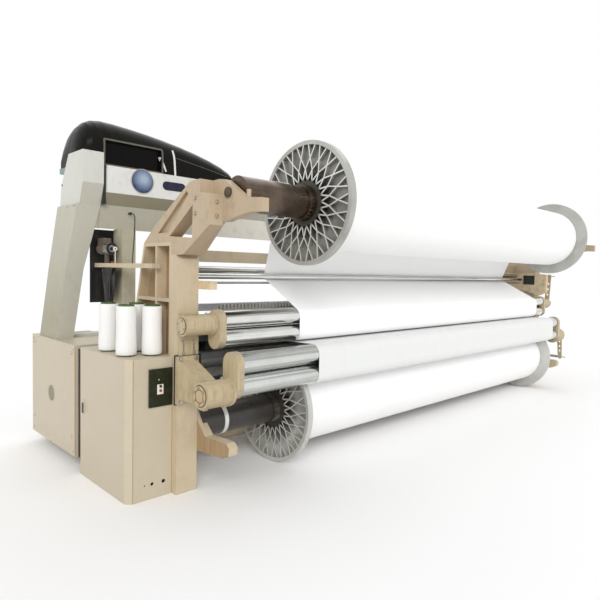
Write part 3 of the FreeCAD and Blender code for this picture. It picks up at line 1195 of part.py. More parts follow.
# ---------------------------------------------------------------- build
def build_frame():
    frame = side_frame()
    save("side_frame_near", frame)
    save("side_frame_far", far(frame))
    save("cross_members", rear_rail(), *cross_ties())
    for name, piece in (("upper_bracket", upper_bracket()), ("front_post", front_post())):
        save(name + "_near", piece)
        save(name + "_far", far(piece))
    for name, piece in (("lower_brackets", lower_bracket()), ("uprights", upright())):
        save(name, piece, far(piece))
    save("upper_housings", upper_housing(HOUSING_WALL), far(upper_housing(0)))
    save("lower_housings", lower_housing(HOUSING_WALL), far(lower_housing(0)))
    save("top_girder", top_girder())
    save("hood", hood())
    save("round_cap", round_cap())
    save("blank_plate", blank_plate())
    save("guide_rods", *guide_rods())
    save("rod_brackets", rod_bracket_near(), rod_bracket_far())
    save("lease_comb", lease_comb())


def build_beams():
    make_beam("upper", UPPER_Y, UPPER_Z, UPPER_REACH, UPPER_JOURNAL_L, UPPER_FACES, UPPER_YARN_D)
    make_beam("lower", LOWER_Y, LOWER_Z, LOWER_REACH, LOWER_JOURNAL_L, LOWER_FACES, LOWER_YARN_D, lower_ring())
    save("upper_warp_sheet", upper_sheet())
    save("lower_warp_sheet", lower_sheet())


def build_tension():
    sets = (("upper", UP_PIVOT, UP_ROLL_Y, UP_ROLL_Z, UP_LOW_Z, UP_ROLL_D, UP_ARM_RIM,
             UP_LEVER_L, UP_SPRING_TURNS),
            ("lower", LOW_PIVOT, LOW_ROLL_Y, LOW_HIGH_Z, LOW_ROLL_Z, LOW_ROLL_D, LOW_ARM_RIM,
             -LOW_LEVER_L, LOW_SPRING_TURNS))
    for name, pivot, y, high, low, diameter, rim, rise, turns in sets:
        save(name + "_swing_arms", swing_arm(pivot, (y, high), (y, low), rim, STUB_NEAR),
             far(swing_arm(pivot, (y, high), (y, low), rim, STUB_FAR)))
        save(name + "_roller_top", roller(y, high, diameter))
        save(name + "_roller_bottom", roller(y, low, diameter))
        eye = (pivot[0] - abs(rise) * LEVER_LEAN, pivot[1] + rise)
        save(name + "_lever", far_lever(pivot, eye))
        save(name + "_spring_anchor", spring_anchor(eye))
        save(name + "_spring", coil_spring(eye[0] + LUG_T / 2, COLUMN_REAR - POST_T, ROD_X, eye[1], turns))


def build_outside():
    save("shelf", shelf())
    save("weft_feeder", weft_feeder())
    save("feeder_drum", feeder_drum())
    save("hanging_cable", hanging_cable())
    save("dark_trunking", cable_bundle(), cable_duct(), far_blank(), backing_plate(), girder_seal())
    save("control_cabinet", control_cabinet())
    save("cabinet_door", cabinet_door())
    save("switch_panel", switch_panel())
    save("start_button", push_button(START_Z))
    save("stop_button", push_button(STOP_Z))
    save("drive_case", drive_case())
    save("drive_motor", drive_motor())
    cones, tubes = yarn_cones()
    save("yarn_cones", *cones)
    save("cone_tubes", *tubes)


def build_front():
    save("breast_beam", breast_beam())
    save("take_up_roller", front_roller(TAKE_UP, TAKE_UP_D))
    save("press_roller", front_roller(PRESS_AXIS, PRESS_D))
    save("cloth_roller", front_roller(CLOTH_AXIS, CLOTH_CORE_D))
    save("wound_cloth", wound_cloth())
    save("sley", *sley())
    save("rear_heald_frame", *heald_frame(HEALD_Y[0]))
    save("front_heald_frame", *heald_frame(HEALD_Y[1]))


os.makedirs("parts", exist_ok=True)
build_frame()
build_beams()
build_tension()
build_outside()
build_front()
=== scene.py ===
# %% [markdown]
# # A wide power loom with two warp beams
# The frame (steel, castings, cases, rollers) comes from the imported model.  This
# lesson gives every surface its finish, winds the yarn, lays the warp, and adds the
# small fittings: bolts, reed and heald wires, screws and trims.

# %% imports and the frame
import math
import numpy as np
import bpy
from mathutils import Matrix, Vector
from mathutils.bvhtree import BVHTree
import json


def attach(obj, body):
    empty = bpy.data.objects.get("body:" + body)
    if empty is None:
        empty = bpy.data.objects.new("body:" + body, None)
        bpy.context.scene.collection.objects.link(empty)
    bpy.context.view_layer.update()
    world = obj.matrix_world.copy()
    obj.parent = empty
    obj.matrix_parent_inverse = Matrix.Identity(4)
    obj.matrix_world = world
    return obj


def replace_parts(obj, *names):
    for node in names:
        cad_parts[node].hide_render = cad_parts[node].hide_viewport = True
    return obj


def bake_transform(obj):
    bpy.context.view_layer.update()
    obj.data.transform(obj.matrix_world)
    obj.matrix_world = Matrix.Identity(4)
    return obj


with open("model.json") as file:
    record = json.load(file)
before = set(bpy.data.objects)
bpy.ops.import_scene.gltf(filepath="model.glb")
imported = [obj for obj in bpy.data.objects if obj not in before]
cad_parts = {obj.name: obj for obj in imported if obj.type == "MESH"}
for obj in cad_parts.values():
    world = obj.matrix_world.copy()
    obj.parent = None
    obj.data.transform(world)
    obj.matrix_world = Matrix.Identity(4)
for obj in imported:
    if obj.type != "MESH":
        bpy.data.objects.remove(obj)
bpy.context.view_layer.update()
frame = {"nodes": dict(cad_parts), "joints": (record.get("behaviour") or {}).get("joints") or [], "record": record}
nodes = frame["nodes"]

# %% [markdown]
# ## Axes that several pieces share
# The beams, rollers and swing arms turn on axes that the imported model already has.
# Their places are read from its joints, so that the yarn, the warp, the bolts and
# the rings all stay on the same centres.

# %% shared axes
AXIS = {joint["name"]: tuple(joint["pos_m"][1:]) for joint in frame["joints"] if joint.get("pos_m")}
UPPER_BEAM, LOWER_BEAM = AXIS["upper_beam_turn"], AXIS["lower_beam_turn"]
UPPER_PIVOT, LOWER_PIVOT = AXIS["upper_tension_swing"], AXIS["lower_tension_swing"]
UPPER_ROLLER_R, LOWER_ROLLER_R = 0.0585, 0.068
ROLLERS = {"upper_roll_a": (*AXIS["upper_roller_a_turn"], UPPER_ROLLER_R),
           "upper_roll_b": (*AXIS["upper_roller_b_turn"], UPPER_ROLLER_R),
           "lower_roll_a": (*AXIS["lower_roller_a_turn"], LOWER_ROLLER_R),
           "lower_roll_b": (*AXIS["lower_roller_b_turn"], LOWER_ROLLER_R)}
UPPER_WOUND_R, LOWER_WOUND_R = 0.303, 0.300
LOWER_SHIFT = 0.262     # the lower beam lies this far off the machine's centre plane
print("beam axes (Y, Z)", UPPER_BEAM, LOWER_BEAM)

# %% [markdown]
# ## Camera
# The main view looks at the loom's near end from the warp side, a little above half
# its height.  A camera could be turned by eye; here its place, its turn and its lens
# are plain numbers that match the photograph, so the view can be made again exactly.

# %% camera
YAW, PITCH, ROLL = (math.radians(a) for a in (45.91, -3.05, 1.24))
EYE = (-4.456, -3.702, 1.415)
FOCAL_PIXELS, PICTURE_PIXELS, SENSOR_MM = 536.1, 600.0, 36.0


def camera_axes(yaw, pitch, roll):
    """Forward d = (cos p cos y, cos p sin y, sin p); right and up turned by the roll."""
    d = Vector((math.cos(pitch) * math.cos(yaw), math.cos(pitch) * math.sin(yaw), math.sin(pitch)))
    level = Vector((math.sin(yaw), -math.cos(yaw), 0.0))
    upright = level.cross(d)
    right = level * math.cos(roll) + upright * math.sin(roll)
    up = upright * math.cos(roll) - level * math.sin(roll)
    return right, up, d


right, up, ahead = camera_axes(YAW, PITCH, ROLL)
lens = bpy.data.cameras.new("main_view")
lens.sensor_width = SENSOR_MM
lens.lens = FOCAL_PIXELS * SENSOR_MM / PICTURE_PIXELS
lens.clip_end = 200.0
camera = bpy.data.objects.new("main_view", lens)
camera.matrix_world = Matrix(((right.x, up.x, -ahead.x, EYE[0]), (right.y, up.y, -ahead.y, EYE[1]),
                              (right.z, up.z, -ahead.z, EYE[2]), (0, 0, 0, 1)))
bpy.context.scene.collection.objects.link(camera)
bpy.context.scene.camera = camera
bpy.context.scene.view_settings.view_transform = "Standard"
print("camera at", EYE, "lens", round(lens.lens, 2), "mm")

# %% [markdown]
# ## Light
# The loom stands on white and its faces towards -Y are the brightest.  Many lamps
# could give that, but one soft sun from the warp side and the near end, with a weaker
# one from the opposite corner, are the same for every piece, however far away.

# %% suns
def sun(name, turn, strength, angle, colour):
    """A lamp infinitely far away; turn is in degrees, and a wide angle softens its shadows."""
    light = bpy.data.lights.new(name, "SUN")
    light.energy = strength
    light.angle = math.radians(angle)
    light.color = colour
    lamp = bpy.data.objects.new(name, light)
    lamp.rotation_euler = [math.radians(a) for a in turn]
    bpy.context.scene.collection.objects.link(lamp)


sun("window_side", (63, 0, -38), 1.5, 30, (1.0, 0.985, 0.96))
sun("hall", (38, 0, 128), 0.5, 60, (0.97, 0.985, 1.0))
print("suns", len(bpy.data.lights))

# %% [markdown]
# ## White surroundings
# A white background lights everything from all sides, and undersides would lose their
# shade.  The lamps could be made stronger against it; here the surroundings look pure
# white where they are seen, and are a little darker in the light that they give.

# %% surroundings
def switched(tree, seen, unseen):
    """Shader seen by the camera, off metal and through glass; shader unseen lights everything else."""
    path = tree.nodes.new("ShaderNodeLightPath")
    most = path.outputs["Is Camera Ray"]
    for kind in ("Is Glossy Ray", "Is Transmission Ray"):
        either = tree.nodes.new("ShaderNodeMath")
        either.operation = "MAXIMUM"
        tree.links.new(most, either.inputs[0])
        tree.links.new(path.outputs[kind], either.inputs[1])
        most = either.outputs[0]
    choice = tree.nodes.new("ShaderNodeMixShader")
    tree.links.new(most, choice.inputs["Fac"])
    tree.links.new(unseen.outputs[0], choice.inputs[1])
    tree.links.new(seen.outputs[0], choice.inputs[2])
    return choice.outputs[0]


world = bpy.data.worlds.new("studio")
bpy.context.scene.world = world
world.use_nodes = True
sky = world.node_tree
sky.nodes.clear()
sky_seen = sky.nodes.new("ShaderNodeBackground")
sky_lit = sky.nodes.new("ShaderNodeBackground")
sky_seen.inputs["Color"].default_value = (1, 1, 1, 1)
sky_seen.inputs["Strength"].default_value = 1.0
sky_lit.inputs["Color"].default_value = (0.985, 0.99, 1.0, 1)
sky_lit.inputs["Strength"].default_value = 0.70
sky_out = sky.nodes.new("ShaderNodeOutputWorld")
sky.links.new(switched(sky, sky_seen, sky_lit), sky_out.inputs["Surface"])
print("surroundings give", round(sky_lit.inputs["Strength"].default_value, 2), "of the light they show")

# %% [markdown]
# ## Short words for shader nodes
# A finish is a network of nodes.  It could be drawn by hand in the shader editor, but
# written down it can be read, repeated and changed.  Each kind of node gets one short
# word here, so that a network reads like a sum.

# %% nodes and sockets
def add(tree, kind, **values):
    """A new node with the given values on its inputs; an underscore stands for a space."""
    node = tree.nodes.new(kind)
    for label, value in values.items():
        node.inputs[label.replace("_", " ")].default_value = value
    return node


def feed(tree, socket, value):
    """Link the socket to another node's output, or set it to a plain value."""
    if hasattr(value, "is_output"):
        tree.links.new(value, socket)
    else:
        socket.default_value = value


def new_group(name, inputs, outputs):
    """An empty node group with named sockets, and its input and output nodes."""
    group = bpy.data.node_groups.new(name, "ShaderNodeTree")
    for label, kind, value in inputs:
        socket = group.interface.new_socket(label, in_out="INPUT", socket_type=kind)
        socket.default_value = value
    for label, kind in outputs:
        group.interface.new_socket(label, in_out="OUTPUT", socket_type=kind)
    return group, group.nodes.new("NodeGroupInput"), group.nodes.new("NodeGroupOutput")


def object_place(tree):
    """The point's own place on the loom, in metres, since every piece sits at the origin."""
    return add(tree, "ShaderNodeTexCoord").outputs["Object"]


def split_xyz(tree, vector):
    """The three parts of a vector, read as ["X"], ["Y"] and ["Z"]."""
    node = add(tree, "ShaderNodeSeparateXYZ")
    tree.links.new(vector, node.inputs[0])
    return node.outputs


def facing(tree):
    """The three parts of the surface's outward direction."""
    return split_xyz(tree, add(tree, "ShaderNodeNewGeometry").outputs["Normal"])


print("nodes can be added, fed, placed and read")


# %% mixing and sums
def mix(tree, fac, a, b, blend="MIX"):
    """Colour a where fac is 0, colour b where it is 1."""
    node = tree.nodes.new("ShaderNodeMix")
    node.data_type = "RGBA"
    node.blend_type = blend
    for place, value in ((0, fac), (6, a), (7, b)):
        feed(tree, node.inputs[place], value)
    return node.outputs[2]


def math_node(tree, operation, a, b=0.0, clamp=False):
    """One sum on two values; clamp holds the result between 0 and 1."""
    node = tree.nodes.new("ShaderNodeMath")
    node.operation = operation
    node.use_clamp = clamp
    for place, value in enumerate((a, b)):
        feed(tree, node.inputs[place], value)
    return node.outputs[0]


def times(tree, a, b, clamp=False):
    """a times b."""
    return math_node(tree, "MULTIPLY", a, b, clamp)


def plus(tree, a, b):
    """a plus b."""
    return math_node(tree, "ADD", a, b)


def minus(tree, a, b):
    """a less b."""
    return math_node(tree, "SUBTRACT", a, b)


def larger(tree, a, b, clamp=False):
    """The larger of a and b."""
    return math_node(tree, "MAXIMUM", a, b, clamp)


def unsigned(tree, a):
    """a without its sign."""
    return math_node(tree, "ABSOLUTE", a)


def distance(tree, a, b):
    """The long side of a right triangle: the root of a squared plus b squared."""
    return math_node(tree, "SQRT", plus(tree, times(tree, a, a), times(tree, b, b)))


print("sums: times, plus, minus, larger, unsigned, distance")


# %% ramps, patterns and bumps
def ramp(tree, source, low, high):
    """0 below low, 1 above high, straight between."""
    node = add(tree, "ShaderNodeMapRange", From_Min=low, From_Max=high)
    tree.links.new(source, node.inputs["Value"])
    return node.outputs["Result"]


def noise(tree, place, scale, detail=4.0, rough=0.55):
    """Cloudy values about 0.5; scale is in patches per metre."""
    node = add(tree, "ShaderNodeTexNoise", Detail=detail, Roughness=rough, Scale=scale)
    tree.links.new(place, node.inputs["Vector"])
    return node.outputs["Fac"]


def stretched(tree, place, scale):
    """Places scaled along each axis, so that a pattern read from them is drawn out."""
    node = add(tree, "ShaderNodeMapping", Scale=scale)
    tree.links.new(place, node.inputs["Vector"])
    return node.outputs["Vector"]


def bumped(tree, height, strength, distance_m):
    """A surface direction that leans with the height; strength is a value or a group's input."""
    bump = add(tree, "ShaderNodeBump", Distance=distance_m)
    feed(tree, bump.inputs["Strength"], strength)
    tree.links.new(height, bump.inputs["Height"])
    return bump.outputs["Normal"]


print("patterns: ramp, noise, stretched, bumped")

# %% [markdown]
# ## Painted, bare and threaded surfaces
# Old machine paint is never one tone: it drifts, gathers oil in its corners and wears
# at its edges; under overhangs and in deep recesses its colour is darkened, which is
# painted shade.  Bare metal keeps its turning lines, and the dark streaks along the
# rollers are painted reflections; wound yarn shows its ends.  Noise stretched along one
# axis gives runs and lines, and Pointiness finds the corners and edges, so no piece
# needs to be painted by hand.

# %% painted metal
COLOUR_OUT = ("Color", "NodeSocketColor")
NORMAL_OUT = ("Normal", "NodeSocketVector")
SURFACE_OUT = [COLOUR_OUT, ("Roughness", "NodeSocketFloat"), NORMAL_OUT]


def paint_group():
    """Painted metal whose tone drifts and edges wear; oil gathers in corners and runs, and painted shade in the
    grime colour darkens undersides and deep recesses.
    """
    tree, inp, out = new_group("paint", [
        ("Color", "NodeSocketColor", (0.6, 0.6, 0.6, 1)), ("Grime", "NodeSocketColor", (0.16, 0.11, 0.06, 1)),
        ("Grime Amount", "NodeSocketFloat", 0.4), ("Wear", "NodeSocketFloat", 0.3),
        ("Roughness", "NodeSocketFloat", 0.45), ("Peel", "NodeSocketFloat", 0.06),
        ("Recess", "NodeSocketFloat", 0.0), ("Underside", "NodeSocketFloat", 0.3)], SURFACE_OUT)
    place = object_place(tree)
    spot, lean = split_xyz(tree, place), facing(tree)
    corners = add(tree, "ShaderNodeNewGeometry").outputs["Pointiness"]
    drift = noise(tree, place, 2.2, 6.0)
    patch = noise(tree, place, 14.0, 8.0, 0.65)
    tone = mix(tree, times(tree, ramp(tree, drift, 0.35, 0.7), 0.5), inp.outputs["Color"],
               (0.93, 0.91, 0.87, 1), "MULTIPLY")
    hollow = ramp(tree, corners, 0.495, 0.44)
    streak = noise(tree, stretched(tree, place, (9.0, 9.0, 1.2)), 3.0, 6.0, 0.6)
    grime_and_shade = times(tree, plus(tree, hollow, ramp(tree, streak, 0.46, 0.74)), ramp(tree, patch, 0.3, 0.75))
    grime_and_shade = times(tree, grime_and_shade, inp.outputs["Grime Amount"], True)
    # Painted shade in the grime colour: faces that look away from the middle, 2 cm or more inside the Recess
    # plane, as on the floors of deep pockets.
    deep = minus(tree, inp.outputs["Recess"], unsigned(tree, spot["X"]))
    outward = times(tree, spot["X"], lean["X"])
    deep = times(tree, ramp(tree, deep, 0.0, 0.02), ramp(tree, outward, 0.5, 1.5))
    deep = times(tree, deep, plus(tree, 0.35, times(tree, streak, 0.7)))
    # Painted shade in the grime colour on faces that look down, by the Underside share.
    below = times(tree, ramp(tree, lean["Z"], -0.15, -0.8), inp.outputs["Underside"])
    # The grime and the painted shade are joined in one mask.
    grime_and_shade = larger(tree, grime_and_shade, larger(tree, deep, below), True)
    grimed_and_shaded = mix(tree, grime_and_shade, tone, inp.outputs["Grime"])
    edge = times(tree, ramp(tree, corners, 0.53, 0.6), ramp(tree, patch, 0.5, 0.62))
    edge = times(tree, edge, inp.outputs["Wear"], True)
    tree.links.new(mix(tree, edge, grimed_and_shaded, (0.33, 0.29, 0.25, 1)), out.inputs["Color"])
    gloss = plus(tree, inp.outputs["Roughness"], times(tree, patch, 0.16))
    tree.links.new(plus(tree, gloss, times(tree, grime_and_shade, 0.2)), out.inputs["Roughness"])
    peel = bumped(tree, noise(tree, place, 320.0, 2.0), inp.outputs["Peel"], 0.001)
    tree.links.new(peel, out.inputs["Normal"])
    return tree


GROUPS = {"paint": paint_group()}
print("painted metal has", len(GROUPS["paint"].nodes), "nodes")


# %% bare metal
def metal_group():
    """Bare metal: fine turning lines across X, smudges, a little oxide and dark streaks along X, which are painted
    reflections.
    """
    tree, inp, out = new_group("bare_metal", [
        ("Color", "NodeSocketColor", (0.7, 0.7, 0.7, 1)), ("Stain", "NodeSocketColor", (0.2, 0.14, 0.09, 1)),
        ("Stain Amount", "NodeSocketFloat", 0.2), ("Roughness", "NodeSocketFloat", 0.3),
        ("Lines", "NodeSocketFloat", 0.1), ("Film", "NodeSocketFloat", 0.0)], SURFACE_OUT)
    place = object_place(tree)
    corners = add(tree, "ShaderNodeNewGeometry").outputs["Pointiness"]
    smudge = noise(tree, place, 7.0, 8.0, 0.6)
    lines = noise(tree, stretched(tree, place, (420.0, 6.0, 6.0)), 1.0, 3.0, 0.5)
    spots = plus(tree, ramp(tree, smudge, 0.45, 0.75), ramp(tree, corners, 0.495, 0.43))
    stained = mix(tree, times(tree, spots, inp.outputs["Stain Amount"], True), inp.outputs["Color"],
                  inp.outputs["Stain"])
    # Painted reflection: dark bands along X, as a roller mirrors the dark things round it, mixed in by the group's
    # last input.
    streak = noise(tree, stretched(tree, place, (0.22, 24.0, 24.0)), 1.0, 4.0, 0.6)
    reflected_bands = times(tree, ramp(tree, streak, 0.47, 0.60), inp.outputs["Film"])
    tree.links.new(mix(tree, reflected_bands, stained, (0.13, 0.115, 0.09, 1)), out.inputs["Color"])
    rough = plus(tree, inp.outputs["Roughness"], times(tree, minus(tree, smudge, 0.4), 0.25))
    tree.links.new(rough, out.inputs["Roughness"])
    tree.links.new(bumped(tree, lines, inp.outputs["Lines"], 0.0006), out.inputs["Normal"])
    return tree


GROUPS["metal"] = metal_group()
print("bare metal has", len(GROUPS["metal"].nodes), "nodes")


# %% rows of thread
def thread_group():
    """Parallel ends: rows set side by side along X, with bands of slightly other tone."""
    tree, inp, out = new_group("threads", [
        ("Color", "NodeSocketColor", (0.9, 0.9, 0.92, 1)),
        ("Shade", "NodeSocketColor", (0.72, 0.74, 0.78, 1)),
        ("Depth", "NodeSocketFloat", 0.25), ("Bands", "NodeSocketFloat", 0.3)], [COLOUR_OUT, NORMAL_OUT])
    place = object_place(tree)
    rows = add(tree, "ShaderNodeTexWave", Scale=95.0, Distortion=0.6, Detail=2.0)
    rows.bands_direction = "X"
    tree.links.new(stretched(tree, place, (1.0, 0.15, 0.15)), rows.inputs["Vector"])
    band = noise(tree, stretched(tree, place, (55.0, 0.4, 0.4)), 1.0, 5.0, 0.7)
    toned = mix(tree, times(tree, ramp(tree, band, 0.42, 0.72), inp.outputs["Bands"]), inp.outputs["Color"],
                inp.outputs["Shade"])
    between = times(tree, minus(tree, 1.0, rows.outputs["Fac"]), 0.16)
    tree.links.new(mix(tree, between, toned, inp.outputs["Shade"]), out.inputs["Color"])
    height = plus(tree, rows.outputs["Fac"], times(tree, band, 0.8))
    tree.links.new(bumped(tree, height, inp.outputs["Depth"], 0.0012), out.inputs["Normal"])
    return tree


GROUPS["threads"] = thread_group()
print("threads have", len(GROUPS["threads"].nodes), "nodes")

# %% [markdown]
# ## Finishes
# A loom has a dozen paints and metals.  Each is one Principled shader fed by a group
# above, so a finish is a line of values: its colour, how much oil and wear it shows
# and how it shines.  Only the surfaces with a pattern of their own get a function.

# %% finish makers
def blank(name):
    """A material with a Principled shader and nothing on its inputs yet."""
    material = bpy.data.materials.new(name)
    material.use_nodes = True
    tree = material.node_tree
    tree.nodes.clear()
    out = add(tree, "ShaderNodeOutputMaterial")
    skin = add(tree, "ShaderNodeBsdfPrincipled")
    tree.links.new(skin.outputs[0], out.inputs["Surface"])
    return material, tree, skin


def wired(tree, skin, group, values):
    """Places a shader group with its own values and links what it puts out to the skin."""
    node = tree.nodes.new("ShaderNodeGroup")
    node.node_tree = GROUPS[group]
    for key, value in values.items():
        socket = node.inputs[key.replace("_", " ")]
        socket.default_value = (*value, 1) if isinstance(value, tuple) else value
    for label, socket in (("Color", "Base Color"), ("Roughness", "Roughness"), ("Normal", "Normal")):
        if label in node.outputs:
            tree.links.new(node.outputs[label], skin.inputs[socket])
    return node


def painted(name, colour, coat=0.15, level=0.5, **values):
    """Paint under a thin clear coat; level lowers the shine of a finish that must stay dark."""
    material, tree, skin = blank(name)
    skin.inputs["Specular IOR Level"].default_value = level
    wired(tree, skin, "paint", dict(Color=colour, **values))
    skin.inputs["Coat Weight"].default_value = coat
    skin.inputs["Coat Roughness"].default_value = 0.35
    return material


def bare(name, colour, **values):
    """Metal without paint."""
    material, tree, skin = blank(name)
    wired(tree, skin, "metal", dict(Color=colour, **values))
    skin.inputs["Metallic"].default_value = 1.0
    return material


def yarn(name, colour, shade, depth=0.25, bands=0.3):
    """Ends of yarn side by side, with the soft sheen of fibres."""
    material, tree, skin = blank(name)
    wired(tree, skin, "threads", {"Color": colour, "Shade": shade, "Depth": depth, "Bands": bands})
    skin.inputs["Roughness"].default_value = 0.62
    skin.inputs["Sheen Weight"].default_value = 0.25
    skin.inputs["Sheen Roughness"].default_value = 0.4
    return material


def moulded(name, colour, rough=0.3):
    """Plastic or rubber: an even colour with a little grime, painted shade underneath and no worn edges."""
    material, tree, skin = blank(name)
    wired(tree, skin, "paint", dict(Color=colour, Grime=(0.25, 0.24, 0.22), Grime_Amount=0.2, Wear=0.0,
                                    Roughness=rough, Peel=0.03))
    return material


print("finish makers: painted, bare, yarn, moulded")

# %% [markdown]
# The post and the girder are painted in tones that meet at straight edges.  The darker
# tones of the post's leaning side, of the girder's bevel that looks down and of the
# skirt under the girder are partly painted shade.  Each tone could be a material on
# faces of its own; here one material reads the place and the direction of the surface,
# since the imported meshes stay as they are and a height in metres is easy to check.

# %% post and girder paint
POST_FACE_X = 2.962         # the post's outer side ends here, and its two leaning sides begin
POST_HEAD_Z = 2.0           # the white head starts at this height
GIRDER_BEVEL_Z = 1.866      # foot of the girder's bevel
GIRDER_FACE_Z = 1.948       # foot of its upright face


def post_paint():
    """Two-part post: the cover and the leaning rear side are olive grey, the head is nearly white; the leaning
    side's grey is partly painted shade, and the cover is darker towards the bottom.
    """
    material, tree, skin = blank("post_paint")
    group = wired(tree, skin, "paint", dict(Grime=(0.22, 0.20, 0.14), Grime_Amount=0.2, Wear=0.2,
                                            Roughness=0.5, Underside=0.1))
    spot = split_xyz(tree, object_place(tree))
    aside = ramp(tree, unsigned(tree, facing(tree)["X"]), 0.7, 0.75)
    within = ramp(tree, unsigned(tree, spot["X"]), POST_FACE_X, POST_FACE_X - 0.006)
    head = ramp(tree, spot["Z"], POST_HEAD_Z, POST_HEAD_Z + 0.006)
    # The outer side is darker towards the bottom.
    cover = mix(tree, ramp(tree, spot["Z"], 1.0, 1.75), (0.38, 0.36, 0.265, 1), (0.52, 0.505, 0.43, 1))
    # Partly painted shade: the leaning rear side looks down, away from the light.
    side = mix(tree, aside, (0.575, 0.57, 0.50, 1), cover)
    white = larger(tree, head, times(tree, aside, within))
    tree.links.new(mix(tree, white, side, (0.66, 0.66, 0.62, 1)), group.inputs["Color"])
    return material


def girder_paint():
    """White upright face over an olive grey bevel and a cream skirt, both darker at the near end; their darker
    tones are partly painted shade, as the bevel looks down and the skirt lies under the girder.
    """
    material, tree, skin = blank("girder_paint")
    group = wired(tree, skin, "paint", dict(Grime=(0.20, 0.18, 0.12), Grime_Amount=0.15, Wear=0.15,
                                            Roughness=0.4, Underside=0.3))
    spot = split_xyz(tree, object_place(tree))
    away = ramp(tree, spot["X"], -2.1, -1.3)
    # Partly painted shade: the skirt lies under the girder and the bevel looks down.
    skirt = mix(tree, away, (0.44, 0.42, 0.34, 1), (0.74, 0.72, 0.65, 1))
    bevel = mix(tree, away, (0.34, 0.315, 0.225, 1), (0.62, 0.60, 0.53, 1))
    lower = mix(tree, ramp(tree, spot["Z"], GIRDER_BEVEL_Z, GIRDER_BEVEL_Z + 0.002), skirt, bevel)
    upright = ramp(tree, spot["Z"], GIRDER_FACE_Z, GIRDER_FACE_Z + 0.002)
    tree.links.new(mix(tree, upright, lower, (0.75, 0.75, 0.735, 1)), group.inputs["Color"])
    return material


print("post and girder change tone at", POST_HEAD_Z, GIRDER_BEVEL_Z, GIRDER_FACE_Z)

# %% [markdown]
# The round cap is glossy, with a painted reflection that is palest above its middle, and a
# beam's flange is cast with painted highlights on its rib tops over grey floors, and painted
# shade towards a dark hub.  A painted picture could hold these zones; the distance to a
# centre, worked out in the shader, needs no picture and stays sharp from close by.

# %% cap enamel and flange metal
# Painted reflection on the cap: it is palest round this point.
CAP_SHEEN = (-2.498, 2.070)     # X and Z of the palest spot on the cap
FLANGE_FACES = (2.016, 2.118)   # centre plane of the upper and of the lower beam to a flange's outer face
BEAM_SPLIT_Z = 1.130            # above this height a flange belongs to the upper beam
# Painted light on the flanges: the rib tops' highlight, and the lower beam's floors made lighter against their
# shade.
PAINTED_FLANGE_LIGHT = (0.80, 0.80, 0.77, 1)


def cap_enamel():
    """Blue domed cap: a pale steel blue above its middle, navy round the rim and below; the pale middle is a
    painted reflection.
    """
    material, tree, skin = blank("cap_plastic")
    spot = split_xyz(tree, object_place(tree))
    away = distance(tree, minus(tree, spot["X"], CAP_SHEEN[0]), minus(tree, spot["Z"], CAP_SHEEN[1]))
    # Painted reflection: pale steel blue near the spot, navy further out.
    tone = mix(tree, ramp(tree, away, 0.020, 0.092), (0.33, 0.43, 0.55, 1), (0.018, 0.035, 0.12, 1))
    tree.links.new(tone, skin.inputs["Base Color"])
    skin.inputs["Roughness"].default_value = 0.12
    return material


def flange_metal():
    """Cast flange: painted highlights on the rib tops, grey floors between them, and painted shade that darkens
    the floors and the hub towards the middle.

    A rib's top lies in the flange's outer face, so points less than a millimetre under that face get the
    highlight; the other zones follow from the distance to the beam's axis, and the lower beam's floors are painted
    a little lighter, against their shade."""
    material, tree, skin = blank("flange_aluminium")
    group = wired(tree, skin, "metal", dict(Color=(0.46, 0.46, 0.43), Stain=(0.14, 0.14, 0.125),
                                            Stain_Amount=0.35, Roughness=0.42, Lines=0.1))
    spot = split_xyz(tree, object_place(tree))
    lower = ramp(tree, spot["Z"], BEAM_SPLIT_Z + 0.001, BEAM_SPLIT_Z)

    def of_beam(upper_value, lower_value):
        """The upper beam's value above the split, the lower beam's below it."""
        return plus(tree, upper_value, times(tree, lower, lower_value - upper_value))

    sideways = unsigned(tree, minus(tree, spot["X"], of_beam(0.0, LOWER_SHIFT)))
    past_face = minus(tree, sideways, of_beam(*FLANGE_FACES))
    top = ramp(tree, past_face, -0.0012, -0.0008)
    away = distance(tree, minus(tree, spot["Z"], of_beam(UPPER_BEAM[1], LOWER_BEAM[1])),
                    minus(tree, spot["Y"], of_beam(UPPER_BEAM[0], LOWER_BEAM[0])))
    # Painted shade: the hub and the deep pockets round it are dark.
    hub = times(tree, ramp(tree, away, 0.165, 0.145), ramp(tree, past_face, 0.06, 0.05))
    rim = ramp(tree, away, 0.368, 0.372)
    # Painted highlight on the rib tops, weaker at the rim.
    rib = times(tree, top, minus(tree, 1.0, times(tree, rim, 0.75)))
    # Painted light: the lower beam's floors are lighter against the shade they lie in.
    web = mix(tree, times(tree, lower, 0.4), group.outputs["Color"], PAINTED_FLANGE_LIGHT)
    # Painted shade: the floors darken towards the hub.
    web = mix(tree, ramp(tree, away, 0.27, 0.17), web, (0.05, 0.048, 0.042, 1))
    ground = mix(tree, rib, web, PAINTED_FLANGE_LIGHT)
    tree.links.new(mix(tree, hub, ground, (0.075, 0.073, 0.062, 1)), skin.inputs["Base Color"])
    skin.inputs["Metallic"].default_value = 0.55
    return material


print("flange faces at", FLANGE_FACES, "from each beam's centre plane")


